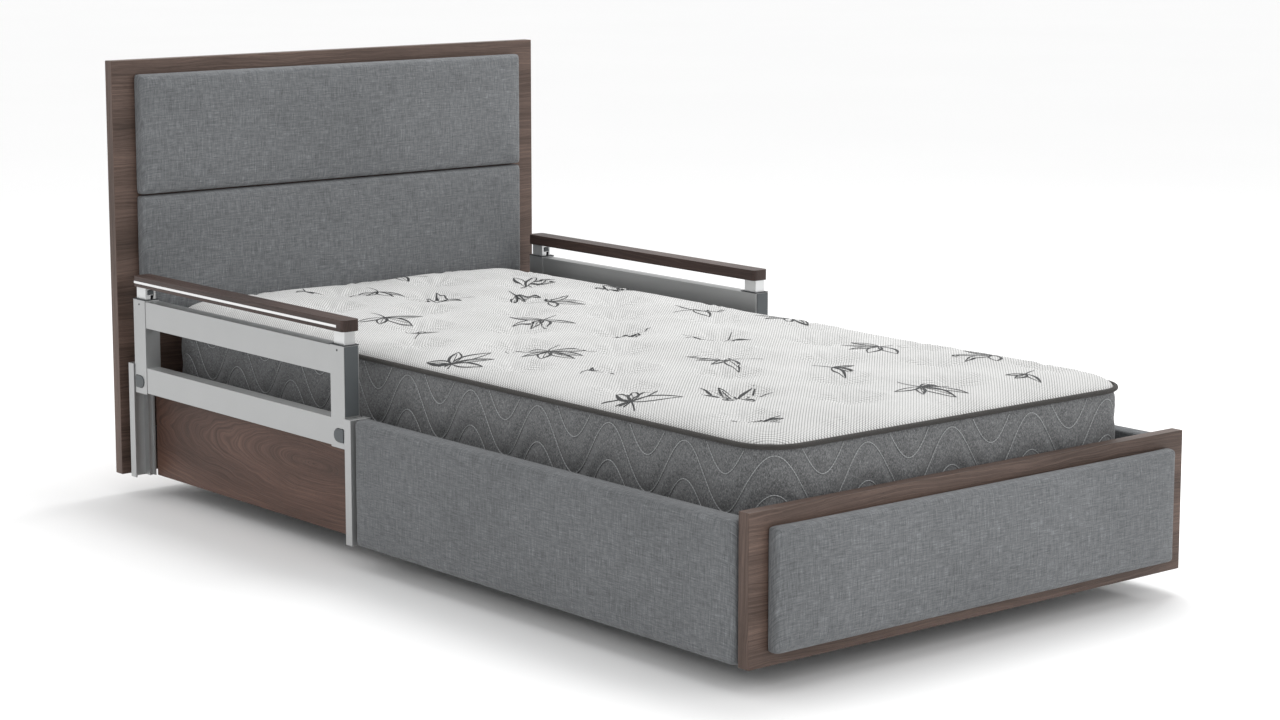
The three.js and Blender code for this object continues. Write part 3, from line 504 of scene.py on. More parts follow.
def puff(obj, held, pressure, cap):
    """Blows the mesh up as cloth round its foam. Held points stay, and none moves further than cap."""
    start = coordinates(obj.data)
    group = obj.vertex_groups.new(name="held")
    group.add([int(i) for i in np.nonzero(held)[0]], 1.0, "REPLACE")
    cloth = obj.modifiers.new("Cloth", "CLOTH")
    cloth.settings.vertex_group_mass = "held"
    cloth.settings.use_pressure = True
    cloth.settings.uniform_pressure_force = pressure
    cloth.settings.effector_weights.gravity = 0.0
    cloth.settings.quality = 4
    cloth.collision_settings.use_collision = False
    for step in range(1, 21):
        bpy.context.scene.frame_set(step)
    graph = bpy.context.evaluated_depsgraph_get()
    swollen = coordinates(obj.evaluated_get(graph).to_mesh())
    obj.evaluated_get(graph).to_mesh_clear()
    obj.modifiers.remove(cloth)
    bpy.context.scene.frame_set(1)
    move = swollen - start
    far = np.linalg.norm(move, axis=1, keepdims=True)
    move *= cap * np.tanh(far / cap) / np.maximum(far, 1e-9)
    obj.data.vertices.foreach_set("co", (start + move).ravel())
    obj.vertex_groups.clear()
    obj.data.update()


def panel_mesh(name, size, radius, cap):
    """A padded board lying in its own frame: X long, Y tall, back at Z 0 and its cloth face towards +Z."""
    made = bmesh.new()
    bmesh.ops.create_cube(made, size=1.0)
    shrink = 1.5 * MM
    depth = size[2] - shrink
    for vertex in made.verts:
        vertex.co = Vector((
            vertex.co.x * (size[0] - 2 * shrink),
            vertex.co.y * (size[1] - 2 * shrink),
            (vertex.co.z + 0.5) * depth,
        ))
    front = [e for e in made.edges if all(v.co.z > depth / 2 for v in e.verts)]
    corners = [e for e in made.edges if abs(e.verts[0].co.z - e.verts[1].co.z) > depth / 2]
    bmesh.ops.bevel(
        made, geom=corners + front, offset=radius, segments=5, affect="EDGES", profile=0.5,
    )
    obj = finish_bmesh(name, made, LINEN["y"])
    remesh = obj.modifiers.new("Remesh", "REMESH")
    remesh.mode = "VOXEL"
    remesh.voxel_size = VOXEL
    apply_modifiers(obj)
    puff(obj, coordinates(obj.data)[:, 2] < HELD_DEPTH, PRESSURE, cap)
    smooth = obj.modifiers.new("Smooth", "SMOOTH")
    smooth.iterations = 6
    smooth.factor = 0.5
    obj.modifiers.new("Subdivision", "SUBSURF").levels = 1
    apply_modifiers(obj)
    for polygon in obj.data.polygons:
        polygon.use_smooth = True
    return obj


def set_panel(obj, node, facing):
    """Stands the panel in its CAD solid's place. facing is the axis and sign its cloth face looks along."""
    low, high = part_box(node)
    axis, sign = facing
    points = coordinates(obj.data)
    placed = np.empty_like(points)
    across = 1 if axis == 0 else 0
    placed[:, across] = points[:, 0] * (sign if axis == 0 else -sign) + (low[across] + high[across]) / 2
    placed[:, 2] = points[:, 1] + (low[2] + high[2]) / 2
    for side in (across, 2):
        inner, outer = placed[:, side].min(), placed[:, side].max()
        share = (placed[:, side] - inner) / (outer - inner)
        placed[:, side] = low[side] + share * (high[side] - low[side])
    back = low[axis] if sign > 0 else high[axis]
    placed[:, axis] = back + sign * points[:, 2]
    obj.data.vertices.foreach_set("co", placed.ravel())
    obj.data.materials.clear()
    # Side-facing panels take the darker linen copy, which paints their shade.
    obj.data.materials.append(LINEN["x" if axis == 0 else "y"])
    obj.data.update()
    return obj


def upholstered(nodes, facings):
    """One padded panel for each node. They are the same size, so one is simulated and all are its copies."""
    low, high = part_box(nodes[0])
    size = high - low
    axis = facings[0][0]
    first = panel_mesh("cushion", (size[1 - axis], size[2], size[axis]), PANEL_RADIUS, PUFF)
    for node, facing in zip(nodes, facings):
        piece = first.copy()
        piece.data = first.data.copy()
        piece.name = node + "_cover"
        bpy.context.scene.collection.objects.link(piece)
        set_panel(piece, node, facing)
        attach(piece, "lying_frame")
        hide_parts(node)
    bpy.data.objects.remove(first)


upholstered(["headboard_cushion_upper", "headboard_cushion_lower"], [(1, -1), (1, -1)])
upholstered(["footboard_pad"], [(1, -1)])
upholstered(["side_panel_left", "side_panel_right"], [(0, -1), (0, 1)])


# ---------------------------------------------------------------- mattress

FOOT_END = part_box("mattress_calf")[0][1]
HEAD_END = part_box("mattress_back")[1][1]
HALF_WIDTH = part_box("mattress_seat")[1][0]
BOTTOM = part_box("mattress_seat")[0][2]
CORNER = 80 * MM
TOP_EDGE = 421 * MM              # where the top panel meets its tape
BORDER_TOP = 416 * MM
BORDER_LOW = BOTTOM + 4 * MM
CROWN = 32 * MM                  # how far the top rises above its tape
CROWN_REACH = 34 * MM            # how far inside its edge it has risen by about two thirds
STEP = 6 * MM                    # spacing of the rows of points

JOINTS = {joint["name"]: joint for joint in frame["joints"]}
BACK_HINGE = JOINTS["backrest_tilt"]["pos_m"][1]
THIGH_HINGE = JOINTS["thigh_tilt"]["pos_m"][1]
KNEE_HINGE = JOINTS["calf_fold"]["pos_m"][1]
HINGE_Z = JOINTS["backrest_tilt"]["pos_m"][2]

# Where the mattress bends: the first body lies before the first Y, and the second after the second Y.
BACK_BEND = (BACK_HINGE - 0.15, BACK_HINGE + 0.25)
THIGH_BEND = (BACK_BEND[0], THIGH_HINGE - 0.18)
KNEE_BEND = (KNEE_HINGE + 0.1, KNEE_HINGE - 0.1)
THIGH_CUT = -0.23
SECTIONS = {
    "foot": {
        "y": (FOOT_END, THIGH_CUT), "bodies": ("thigh", "calf"), "bend": KNEE_BEND,
        "nodes": ["mattress_calf"],
    },
    "middle": {
        "y": (THIGH_CUT, BACK_BEND[0]), "bodies": ("lying_frame", "thigh"), "bend": THIGH_BEND,
        "nodes": ["mattress_seat", "mattress_thigh"],
    },
    "head": {
        "y": (BACK_BEND[0], HEAD_END), "bodies": ("lying_frame", "backrest"), "bend": BACK_BEND,
        "nodes": ["mattress_back"],
    },
}

WAVES = 27
PERIMETER = 2 * (2 * HALF_WIDTH + HEAD_END - FOOT_END) - (8 - 2 * math.pi) * CORNER
WAVE_LENGTH = PERIMETER / WAVES
WAVE_START = -84 * MM
WAVE_HEIGHT = 57 * MM
WAVE_MIDDLES = (275 * MM, 346 * MM, 417 * MM)

# Of each edge tape: its height, how far it stands out of the outline, and its radius.
UPPER_TAPE_Z, UPPER_TAPE_OUT, UPPER_TAPE_RADIUS = 419.5 * MM, 2.5 * MM, 5 * MM
LOWER_TAPE_RISE, LOWER_TAPE_OUT, LOWER_TAPE_RADIUS = 4.5 * MM, -1.5 * MM, 4 * MM
STITCH_OUT, STITCH_RADIUS = 0.9 * MM, 1.0 * MM


def ease(t):
    t = np.clip(t, 0, 1)
    return t * t * (3 - 2 * t)


def edge_distance(x, y):
    """How far inside the mattress's plan outline a point lies."""
    middle = (FOOT_END + HEAD_END) / 2
    qx = np.abs(x) - (HALF_WIDTH - CORNER)
    qy = np.abs(y - middle) - ((HEAD_END - FOOT_END) / 2 - CORNER)
    outside = np.hypot(np.maximum(qx, 0), np.maximum(qy, 0))
    return CORNER - outside - np.minimum(np.maximum(qx, qy), 0)


TUFT_PITCH = (0.27, 0.34)
TUFT_DEPTH = 17 * MM
TUFT_REACH = 56 * MM
PUCKER = 3.0 * MM                # height of the folds round a tuft
PUCKERS = 9
ROLL = 4.0 * MM                  # slow unevenness of the whole top


def top_height(x, y):
    """Z of the mattress's top: crowned from its tape, with a staggered field of tufted dimples."""
    inside = edge_distance(x, y)
    crown = CROWN * (1 - np.exp(-np.maximum(inside, 0) / CROWN_REACH))
    column = np.round(x / TUFT_PITCH[0] * 2)
    row_shift = (np.mod(column, 2)) * TUFT_PITCH[1] / 2
    near_x = column * TUFT_PITCH[0] / 2
    near_y = np.round((y - row_shift) / TUFT_PITCH[1]) * TUFT_PITCH[1] + row_shift
    distance = np.hypot(x - near_x, y - near_y)
    dimple = TUFT_DEPTH * np.exp(-(distance / TUFT_REACH) ** 2) * ease((inside - 40 * MM) / (70 * MM))
    turn = np.arctan2(y - near_y, x - near_x)
    pucker = PUCKER * np.sin(turn * PUCKERS + 40 * near_x) * np.exp(-((distance - 45 * MM) / (30 * MM)) ** 2)
    roll = ROLL * np.sin(x * 9.1 + 2.1 * np.sin(y * 3.3)) * np.sin(y * 6.7 + 1.3 * np.sin(x * 5.1))
    return TOP_EDGE + crown - dimple + (pucker + roll) * ease(inside / (80 * MM))


def underside_height(y):
    """Z of the bottom: hollowed by the hinges, so that a bent mattress doesn't press into the deck."""
    lift = np.zeros_like(y)
    for (first, last), hinge, angle in (
        (BACK_BEND, BACK_HINGE, JOINTS["backrest_tilt"]["range_deg"][1]),
        (THIGH_BEND, THIGH_HINGE, JOINTS["thigh_tilt"]["range_deg"][1]),
    ):
        weight = ease((y - first) / (last - first))
        past = (y - hinge) * np.sign(last - first)
        left = np.radians(angle) * np.where(past > 0, 1 - weight, weight)
        rise = (BOTTOM - HINGE_Z) / np.cos(left) + np.abs(past) * np.tan(left) - (BOTTOM - HINGE_Z)
        inside = (weight > 0) & (weight < 1)
        lift = np.maximum(lift, np.where(inside, rise, 0))
    return BOTTOM + lift


def row_positions(low, high):
    """Y of the rows of points of a section, closer round a corner. Also the half width of each row."""
    arc = np.linspace(0, math.pi / 2, 17)
    start, end = low, high
    parts = []
    if low == FOOT_END:
        start = low + CORNER
        parts.append([
            (low + CORNER - CORNER * math.cos(a), HALF_WIDTH - CORNER + CORNER * math.sin(a)) for a in arc[:-1]
        ])
    if high == HEAD_END:
        end = high - CORNER
    count = int(math.ceil((end - start) / STEP))
    parts.append([(y, HALF_WIDTH) for y in np.linspace(start, end, count + 1)])
    if high == HEAD_END:
        parts.append([
            (high - CORNER + CORNER * math.sin(a), HALF_WIDTH - CORNER + CORNER * math.cos(a)) for a in arc[1:]
        ])
    rows = [row for part in parts for row in part]
    return np.array([r[0] for r in rows]), np.array([r[1] for r in rows])


def outward(x, y):
    """Unit vectors pointing out of the plan outline at points on it."""
    middle = (FOOT_END + HEAD_END) / 2
    qx = np.abs(x) - (HALF_WIDTH - CORNER)
    qy = np.abs(y - middle) - ((HEAD_END - FOOT_END) / 2 - CORNER)
    nx = np.where(qx > 1e-7, qx, 0.0) * np.sign(x)
    ny = np.where(qy > 1e-7, qy, 0.0) * np.sign(y - middle)
    length = np.maximum(np.hypot(nx, ny), 1e-9)
    return nx / length, ny / length


def outline_point(distance):
    """X, Y and outward X, Y at a distance along the outline, from the left side's Y 0 to the foot and round."""
    straight_y = HEAD_END - FOOT_END - 2 * CORNER
    straight_x = 2 * (HALF_WIDTH - CORNER)
    quarter = CORNER * math.pi / 2
    left = -(FOOT_END + CORNER)
    d = np.mod(distance, PERIMETER)
    stops = np.cumsum([
        0, left, quarter, straight_x, quarter, straight_y, quarter, straight_x, quarter, straight_y - left,
    ])
    foot, head = FOOT_END + CORNER, HEAD_END - CORNER
    side = HALF_WIDTH - CORNER
    x, y, nx, ny = (np.zeros_like(d) for _ in range(4))
    straights = {
        0: lambda t: (-HALF_WIDTH, -t, -1, 0),
        2: lambda t: (-side + t, FOOT_END, 0, -1),
        4: lambda t: (HALF_WIDTH, foot + t, 1, 0),
        6: lambda t: (side - t, HEAD_END, 0, 1),
        8: lambda t: (-HALF_WIDTH, head - t, -1, 0),
    }
    corners = {
        1: (-side, foot, math.pi), 3: (side, foot, 1.5 * math.pi),
        5: (side, head, 0), 7: (-side, head, 0.5 * math.pi),
    }
    for part in range(9):
        here = (d >= stops[part]) & (d < stops[part + 1] + 1e-12)
        t = d[here] - stops[part]
        if part in straights:
            px, py, mx, my = straights[part](t)
            x[here], y[here], nx[here], ny[here] = px, py, mx, my
        else:
            cx, cy, angle = corners[part]
            turn = angle + t / CORNER
            nx[here], ny[here] = np.cos(turn), np.sin(turn)
            x[here], y[here] = cx + CORNER * np.cos(turn), cy + CORNER * np.sin(turn)
    return x, y, nx, ny


def distance_along(x, y):
    """The inverse of outline_point, for points on the outline."""
    foot, head, side = FOOT_END + CORNER, HEAD_END - CORNER, HALF_WIDTH - CORNER
    quarter = CORNER * math.pi / 2
    marks = [0, -foot, quarter, 2 * side, quarter, head - foot, quarter, 2 * side, quarter]
    stops = np.cumsum(marks)
    out = np.zeros_like(x)
    corner_low, corner_high = y < foot - 1e-9, y > head + 1e-9
    wide = np.abs(x) > side + 1e-9
    left, right = x < 0, x >= 0
    straight = ~corner_low & ~corner_high
    out = np.where(straight & left, np.where(y <= 0, -y, PERIMETER - y), out)
    out = np.where(straight & right, stops[4] + (y - foot), out)
    angle_low = np.arctan2(foot - y, np.maximum(np.abs(x) - side, 1e-12))
    angle_high = np.arctan2(y - head, np.maximum(np.abs(x) - side, 1e-12))
    out = np.where(corner_low & wide & left, stops[1] + angle_low * CORNER, out)
    out = np.where(corner_low & wide & right, stops[4] - angle_low * CORNER, out)
    out = np.where(corner_low & ~wide, stops[2] + (x + side), out)
    out = np.where(corner_high & wide & right, stops[5] + angle_high * CORNER, out)
    out = np.where(corner_high & wide & left, stops[8] - angle_high * CORNER, out)
    out = np.where(corner_high & ~wide, stops[6] + (side - x), out)
    return out


def wave_height(distance, middle):
    return middle + WAVE_HEIGHT * np.cos(2 * math.pi * (distance - WAVE_START) / WAVE_LENGTH)


def border_offset(distance, z):
    """How far the quilted border stands out of the outline: puffed between the stitched waves."""
    turn = 2 * math.pi / WAVE_LENGTH
    slope = WAVE_HEIGHT * turn * np.sin(turn * (distance - WAVE_START))
    nearest = np.full(np.broadcast(distance, z).shape, 1.0)
    for middle in WAVE_MIDDLES:
        gap = np.abs(z - wave_height(distance, middle)) / np.sqrt(1 + slope ** 2)
        nearest = np.minimum(nearest, gap)
    height = (z - BORDER_LOW) / (BORDER_TOP - BORDER_LOW)
    barrel = 2.5 * MM * np.sin(math.pi * np.clip(height, 0, 1))
    puffed = 5.0 * MM * (1 - np.exp(-(nearest / (12 * MM)) ** 2))
    ends = ease(height / 0.06) * ease((1 - height) / 0.06)
    return -3.5 * MM + barrel + puffed * (0.35 + 0.65 * ends)


def tube(name, centre, out, up, radius, sides, material):
    """A round strip along a line. out and up are the directions of its section at every point."""
    turns = np.linspace(0, 2 * math.pi, sides, endpoint=False)
    rings = (centre[:, None, :]
             + radius * np.cos(turns)[None, :, None] * out[:, None, :]
             + radius * np.sin(turns)[None, :, None] * up[:, None, :])
    faces = []
    for i in range(len(centre) - 1):
        for j in range(sides):
            k = (j + 1) % sides
            faces.append((i * sides + j, i * sides + k, (i + 1) * sides + k, (i + 1) * sides + j))
    obj = mesh_object(name, rings.reshape(-1, 3), faces, [material])
    step = np.linalg.norm(np.diff(centre, axis=0), axis=1)
    store(obj, "along", "FLOAT", np.repeat(np.concatenate([[0], np.cumsum(step)]), sides))
    return obj


def joined(name, parts):
    """Several meshes as one piece."""
    made = bmesh.new()
    for part in parts:
        made.from_mesh(part.data)
    material = parts[0].data.materials[0]
    mesh = bpy.data.meshes.new(name)
    made.to_mesh(mesh)
    made.free()
    mesh.materials.append(material)
    mesh.shade_smooth()
    obj = bpy.data.objects.new(name, mesh)
    bpy.context.scene.collection.objects.link(obj)
    for part in parts:
        bpy.data.objects.remove(part)
    return obj


def bend(obj):
    """Keeps the piece's places at rest for its materials, and bakes its placement into its mesh."""
    keep_rest(obj)
    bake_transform(obj)


BORDER_ROWS = 48
TOP_COLUMNS = 120


def mattress_cover(label, section):
    """Top, border and bottom of one section, open where it meets the next."""
    rows_y, rows_half = row_positions(*section["y"])
    shares = np.linspace(-1, 1, TOP_COLUMNS + 1)
    x = shares[None, :] * (rows_half[:, None] - 3 * MM)
    y = np.repeat(rows_y[:, None], TOP_COLUMNS + 1, axis=1)
    inset = np.clip(edge_distance(x, y), 0, None)
    y = np.where(rows_y[:, None] <= FOOT_END + 1e-9, y + 3 * MM, y)
    y = np.where(rows_y[:, None] >= HEAD_END - 1e-9, y - 3 * MM, y)
    z = np.where(inset < 4 * MM, TOP_EDGE, top_height(x, y))
    points = [np.stack([x, y, z], -1).reshape(-1, 3)]
    wide = TOP_COLUMNS + 1
    count = len(rows_y)
    faces = [
        (i * wide + j, i * wide + j + 1, (i + 1) * wide + j + 1, (i + 1) * wide + j)
        for i in range(count - 1) for j in range(TOP_COLUMNS)
    ]
    top_faces = len(faces)
    left = [i * wide for i in range(count)]
    right = [i * wide + TOP_COLUMNS for i in range(count)]
    if label == "foot":
        chains = [left[::-1] + list(range(1, TOP_COLUMNS)) + right]
    elif label == "head":
        last = (count - 1) * wide
        chains = [right + list(range(last + TOP_COLUMNS - 1, last, -1)) + left[::-1]]
    else:
        chains = [left[::-1], right]
    across = shares[None, :] * rows_half[:, None]
    plan = np.stack([across, np.repeat(rows_y[:, None], wide, axis=1)], -1).reshape(-1, 2)
    total = len(points[0])
    levels = np.linspace(0, 1, BORDER_ROWS)
    bottom_of = {}
    for chain in chains:
        px, py = plan[chain, 0], plan[chain, 1]
        nx, ny = outward(px, py)
        along = distance_along(px, py)
        low = underside_height(py) + (BORDER_LOW - BOTTOM)
        upper = list(chain)
        for level in levels:
            height = BORDER_TOP + (low - BORDER_TOP) * level
            offset = border_offset(along, height)
            ring = np.stack([px + nx * offset, py + ny * offset, height], -1)
            points.append(ring)
            lower = list(range(total, total + len(chain)))
            total += len(chain)
            faces += [(upper[k + 1], upper[k], lower[k], lower[k + 1]) for k in range(len(chain) - 1)]
            upper = lower
        inner = np.stack([px - nx * 6 * MM, py - ny * 6 * MM, underside_height(py)], -1)
        points.append(inner)
        lower = list(range(total, total + len(chain)))
        total += len(chain)
        faces += [(upper[k + 1], upper[k], lower[k], lower[k + 1]) for k in range(len(chain) - 1)]
        bottom_of.update(zip(chain, lower))
    for i in range(count - 1):
        faces.append([bottom_of[k] for k in (left[i], left[i + 1], right[i + 1], right[i])])
    if label == "foot":
        faces.append([bottom_of[k] for k in [left[0]] + list(range(1, TOP_COLUMNS)) + [right[0]]])
    if label == "head":
        back_row = list(range(last + TOP_COLUMNS - 1, last, -1))
        faces.append([bottom_of[k] for k in [right[-1]] + back_row + [left[-1]]])
    faces = [f for f in faces if len(set(f)) > 2]
    obj = mesh_object("mattress_" + label, np.concatenate(points), faces, [KNIT, HEATHER])
    index = np.ones(len(obj.data.polygons), np.int32)
    index[:top_faces] = 0
    obj.data.polygons.foreach_set("material_index", index)
    return obj


def section_runs(section):
    """Stretches of the outline, as [start, end] distances, that lie in a section."""
    low, high = section["y"]
    at = lambda x, y: float(distance_along(np.array([x]), np.array([y]))[0])
    if low == FOOT_END:
        return [(at(-HALF_WIDTH, high), at(HALF_WIDTH, high))]
    if high == HEAD_END:
        return [(at(HALF_WIDTH, low), at(-HALF_WIDTH, low))]
    left_start = at(-HALF_WIDTH, high) - PERIMETER * (high > 0)
    return [(left_start, at(-HALF_WIDTH, low)), (at(HALF_WIDTH, low), at(HALF_WIDTH, high))]


def along_outline(start, end, step):
    count = max(2, int(math.ceil((end - start) / step)) + 1)
    return np.linspace(start, end, count)


def tape_strips(section, z_of, offset, radius):
    parts = []
    for start, end in section_runs(section):
        d = along_outline(start, end, 6 * MM)
        x, y, nx, ny = outline_point(d)
        centre = np.stack([x + nx * offset, y + ny * offset, z_of(y)], -1)
        out = np.stack([nx, ny, np.zeros_like(nx)], -1)
        up = np.tile([0.0, 0.0, 1.0], (len(d), 1))
        parts.append(tube("strip", centre, out, up, radius, 10, TAPE))
    return parts


def stitched_waves(section):
    """The three stitched waves of the border, where they lie between its tapes."""
    parts = []
    for start, end in section_runs(section):
        d = along_outline(start, end, 3 * MM)
        for middle in WAVE_MIDDLES:
            z = wave_height(d, middle)
            x, y, nx, ny = outline_point(d)
            shown = (z < BORDER_TOP - 3 * MM) & (z > underside_height(y) + 8 * MM)
            for run in np.split(np.arange(len(d)), np.nonzero(np.diff(shown.astype(int)))[0] + 1):
                if not shown[run[0]] or len(run) < 3:
                    continue
                offset = border_offset(d[run], z[run]) + STITCH_OUT
                centre = np.stack([x[run] + nx[run] * offset, y[run] + ny[run] * offset, z[run]], -1)
                out = np.stack([nx[run], ny[run], np.zeros(len(run))], -1)
                tangent = np.gradient(centre, axis=0)
                tangent /= np.linalg.norm(tangent, axis=1, keepdims=True)
                parts.append(tube("stitch", centre, out, np.cross(tangent, out), STITCH_RADIUS, 5, STITCHING))
    return parts


for label, section in SECTIONS.items():
    cover = mattress_cover(label, section)
    bend(cover)
    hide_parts(*section["nodes"])
    upper_tape = joined("mattress_upper_tape_" + label, tape_strips(
        section, lambda y: np.full_like(y, UPPER_TAPE_Z), UPPER_TAPE_OUT, UPPER_TAPE_RADIUS))
    lower_tape = joined("mattress_lower_tape_" + label, tape_strips(
        section, lambda y: underside_height(y) + LOWER_TAPE_RISE, LOWER_TAPE_OUT, LOWER_TAPE_RADIUS))
    stitches = joined("mattress_stitching_" + label, stitched_waves(section))
    for piece in (upper_tape, lower_tape, stitches):
        bend(piece)


# ---------------------------------------------------------------- leaf print

PRINT_LIFT = 0.5 * MM
# Middle of each printed sprig on the mattress's top, in millimetres.
SPRIGS = (
    (15, 640), (-263, -104), (-454, -31), (123, 971), (-60, 800), (-193, 900), (-265, 477),
    (297, 700), (148, 420), (-36, 206), (329, 130), (131, -184), (-40, -405), (-447, -590),
    (-276, -696), (406, 487), (303, -484), (39, -864), (400, -711), (436, -72), (160, 560),
    (-329, 256), (40, -20), (-334, -326), (60, -600), (285, -907), (-400, -880),
)
SMALL_SPRIGS = {
    (-193, 900), (160, 560), (-329, 256), (40, -20), (-334, -326), (60, -600), (285, -907), (-400, -880),
}


def leaf_strokes(base, angle, length, fullness, pick):
    """A lanceolate leaf drawn as two pen strokes that meet at its tip, and sometimes its vein."""
    t = np.linspace(0, 1, 15)
    forward = np.array([math.cos(angle), math.sin(angle)])
    side = np.array([-forward[1], forward[0]])
    droop = pick.uniform(-0.18, 0.18) * length * t ** 2
    strokes = []
    for sign, weight in ((1, 1.0), (-1, 0.5)):
        bow = sign * fullness * length * np.sin(math.pi * t ** 0.85) + droop
        line = np.array(base) + np.outer(length * t, forward) + np.outer(bow, side)
        strokes.append((line, weight * 5.2 * MM * np.sin(math.pi * np.clip(t, 0.04, 0.97)) ** 0.8 + 1.3 * MM))
    if pick.random() < 0.4:
        line = np.array(base) + np.outer(length * t * 0.8, forward) + np.outer(droop, side)
        strokes.append((line, np.full(15, 1.6 * MM)))
    return strokes


def sprig_strokes(place, small, pick):
    """Leaves fanned out from one point, with a bent stem."""
    size = (62 if small else 98) * MM
    base = np.array(place) * MM
    turn = pick.uniform(0, 2 * math.pi)
    count = 3 if small else pick.choice((4, 5, 5, 6))
    strokes = []
    for k in range(count):
        spread = (k - (count - 1) / 2) * pick.uniform(0.62, 0.85)
        length = size * pick.uniform(0.65, 1.0)
        strokes += leaf_strokes(base, turn + spread, length, pick.uniform(0.1, 0.17), pick)
    t = np.linspace(0, 1, 13)
    back = turn + math.pi
    bend_by = pick.uniform(-0.5, 0.5)
    stem = base + 0.7 * size * np.stack([t * np.cos(back + bend_by * t), t * np.sin(back + bend_by * t)], -1)
    strokes.append((stem, np.linspace(3.4 * MM, 1.8 * MM, 13)))
    return strokes


def ribbon_quads(line, width):
    """Corner points of the ribbon's quads, with how far along the stroke each corner lies."""
    tangent = np.gradient(line, axis=0)
    tangent /= np.linalg.norm(tangent, axis=1, keepdims=True)
    side = np.stack([-tangent[:, 1], tangent[:, 0]], -1) * width[:, None] / 2
    left, right = line + side, line - side
    along = np.concatenate([[0], np.cumsum(np.linalg.norm(np.diff(line, axis=0), axis=1))])
    return [
        ((left[i], right[i], right[i + 1], left[i + 1]), (along[i], along[i], along[i + 1], along[i + 1]))
        for i in range(len(line) - 1)
    ]


def leaf_print():
    """The print as thin ribbons lying on the top, one piece for each section of the mattress."""
    pick = random.Random(11)
    quads = []
    for place in SPRIGS:
        for line, width in sprig_strokes(place, place in SMALL_SPRIGS, pick):
            quads += ribbon_quads(line, width)
    for label, section in SECTIONS.items():
        low, high = section["y"]
        points, faces, along = [], [], []
        for corners, distances in quads:
            middle = sum(corners) / 4
            inside = edge_distance(np.array([c[0] for c in corners]), np.array([c[1] for c in corners]))
            if not low <= middle[1] < high or inside.min() < 12 * MM:
                continue
            faces.append(tuple(range(len(points), len(points) + 4)))
            points += [(c[0], c[1], 0.0) for c in corners]
            along += list(distances)
        points = np.array(points)
        points[:, 2] = top_height(points[:, 0], points[:, 1]) + PRINT_LIFT
        obj = mesh_object("mattress_print_" + label, points, faces, [INK])
        store(obj, "along", "FLOAT", along)
        bend(obj)


leaf_print()


# ---------------------------------------------------------------- small parts of the rails


def signed_box(name, side, x, y, z, material, bevel_mm=0.4):
    xs = sorted((SIDES[side] * x[0] * MM, SIDES[side] * x[1] * MM))
    return box_mesh(name, (xs[0], y[0] * MM, z[0] * MM), (xs[1], y[1] * MM, z[1] * MM), material, bevel_mm)


def screw(name, side, y, z):
    """A low button-head screw in the rail post's outer face."""
    made = bmesh.new()
    bmesh.ops.create_cone(made, cap_ends=True, segments=20, radius1=2.4 * MM, radius2=1.9 * MM, depth=0.8 * MM)
    for vertex in made.verts:
        across, up, out = vertex.co
        vertex.co = Vector((SIDES[side] * (583.3 * MM + out), y * MM + across, z * MM + up))
    return finish_bmesh(name, made, SCREW_BLACK)


# All in millimetres: the gasket lies on the rail post's top, round the upper post.
POST_MIDDLE = {"foot": 190, "head": 984}
GASKET_X = (545, 550.4, 577.6, 584)
GASKET_Y = (-26, -19.4, 19.4, 26)
GASKET_Z = (462.1, 463.7)
SCREW_Z = 452
for side in SIDES:
    for end in ENDS:
        y = POST_MIDDLE[end]
        x0, x1, x2, x3 = GASKET_X
        y0, y1, y2, y3 = (y + step for step in GASKET_Y)
        ring = [
            signed_box("strip", side, xs, ys, GASKET_Z, GASKET_RUBBER, 0.3)
            for xs, ys in (
                ((x0, x1), (y0, y3)), ((x2, x3), (y0, y3)), ((x1, x2), (y0, y1)), ((x1, x2), (y2, y3)),
            )
        ]
        gasket = joined(f"post_gasket_{end}_{side}", ring)
        gasket.data.shade_flat()
        set_screw = screw(f"post_screw_{end}_{side}", side, y, SCREW_Z)
        for piece in (gasket, set_screw):
            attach(piece, f"rail_{side}")
    profile = signed_box(f"handrail_profile_{side}", side, (553, 575), (218, 956), (488.4, 490.8),
                         SLOT_MATERIALS["bright_strip"], 0.4)
    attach(profile, f"handrail_{side}")


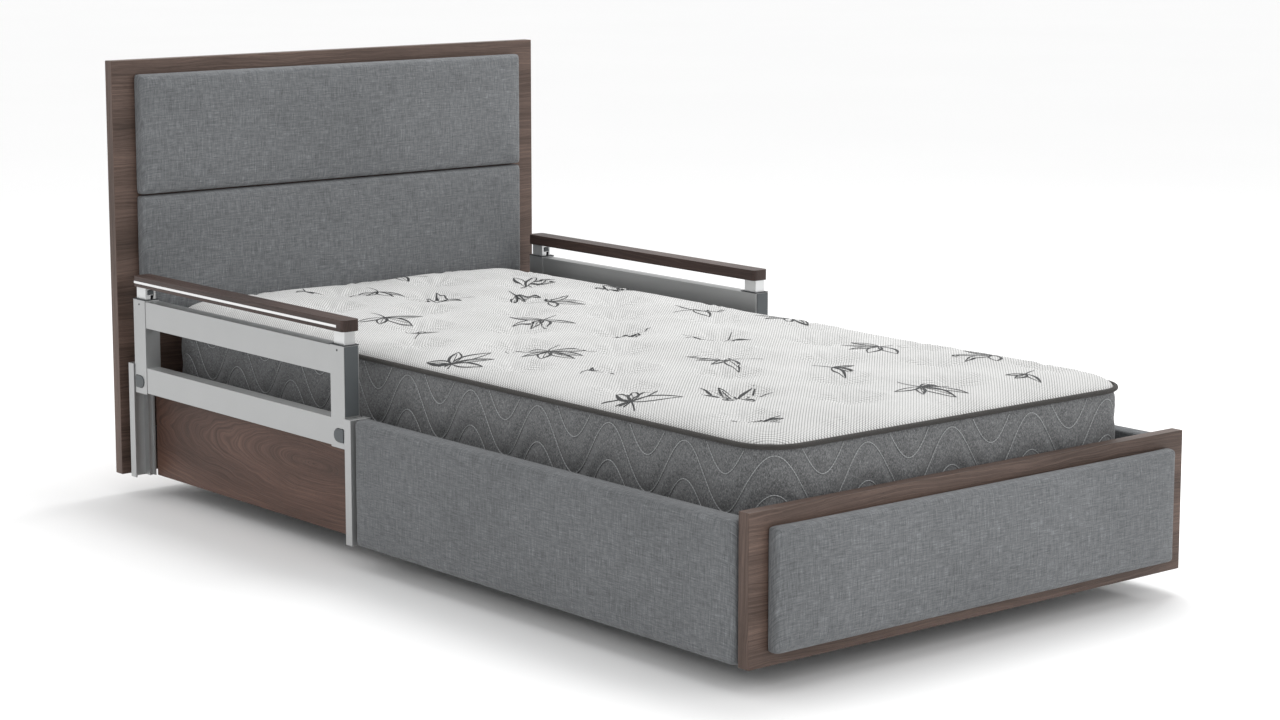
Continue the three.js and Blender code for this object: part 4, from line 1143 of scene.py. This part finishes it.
# ---------------------------------------------------------------- camera, light and floor

CAMERA = {
    "azimuth": -39.791,
    "elevation": 8.739,
    "distance": 6.0,
    "target": (-0.044, -0.1305, 0.5404),
    "lens": 81.465,
    "shift_y": -0.0469,
}


def add_camera():
    azimuth, elevation = math.radians(CAMERA["azimuth"]), math.radians(CAMERA["elevation"])
    back = Vector((
        math.sin(azimuth) * math.cos(elevation), -math.cos(azimuth) * math.cos(elevation), math.sin(elevation),
    ))
    data = bpy.data.cameras.new("camera")
    data.lens = CAMERA["lens"]
    data.shift_y = CAMERA["shift_y"]
    data.clip_start, data.clip_end = 0.1, 200
    camera = bpy.data.objects.new("camera", data)
    camera.location = Vector(CAMERA["target"]) + back * CAMERA["distance"]
    camera.rotation_mode = "QUATERNION"
    camera.rotation_quaternion = (-back).to_track_quat("-Z", "Y")
    bpy.context.scene.collection.objects.link(camera)
    bpy.context.scene.camera = camera


def add_light(name, place, aim, size, power):
    data = bpy.data.lights.new(name, "AREA")
    data.shape = "RECTANGLE"
    data.size, data.size_y = size
    data.energy = power
    light = bpy.data.objects.new(name, data)
    light.location = place
    light.rotation_mode = "QUATERNION"
    light.rotation_quaternion = (Vector(aim) - Vector(place)).to_track_quat("-Z", "Y")
    bpy.context.scene.collection.objects.link(light)


def add_studio():
    reach = 40
    corners = [(-reach, -reach, 0), (reach, -reach, 0), (reach, reach, 0), (-reach, reach, 0)]
    floor = mesh_object("floor", corners, [(0, 1, 2, 3)], [floor_finish("floor_white")])
    world = bpy.data.worlds.new("studio")
    bpy.context.scene.world = world
    world.use_nodes = True
    background = world.node_tree.nodes["Background"]
    background.inputs["Color"].default_value = (1.0, 1.0, 1.0, 1)
    background.inputs["Strength"].default_value = 1.0
    add_light("overhead", (1.7, 0.5, 3.9), (0, -0.3, 0), (2.6, 2.6), 95)
    add_light("foot_fill", (2.5, -6.0, 2.6), (0, 0, 0.4), (3.0, 2.5), 50)
    bpy.context.scene.view_settings.view_transform = "Standard"


add_camera()
add_studio()
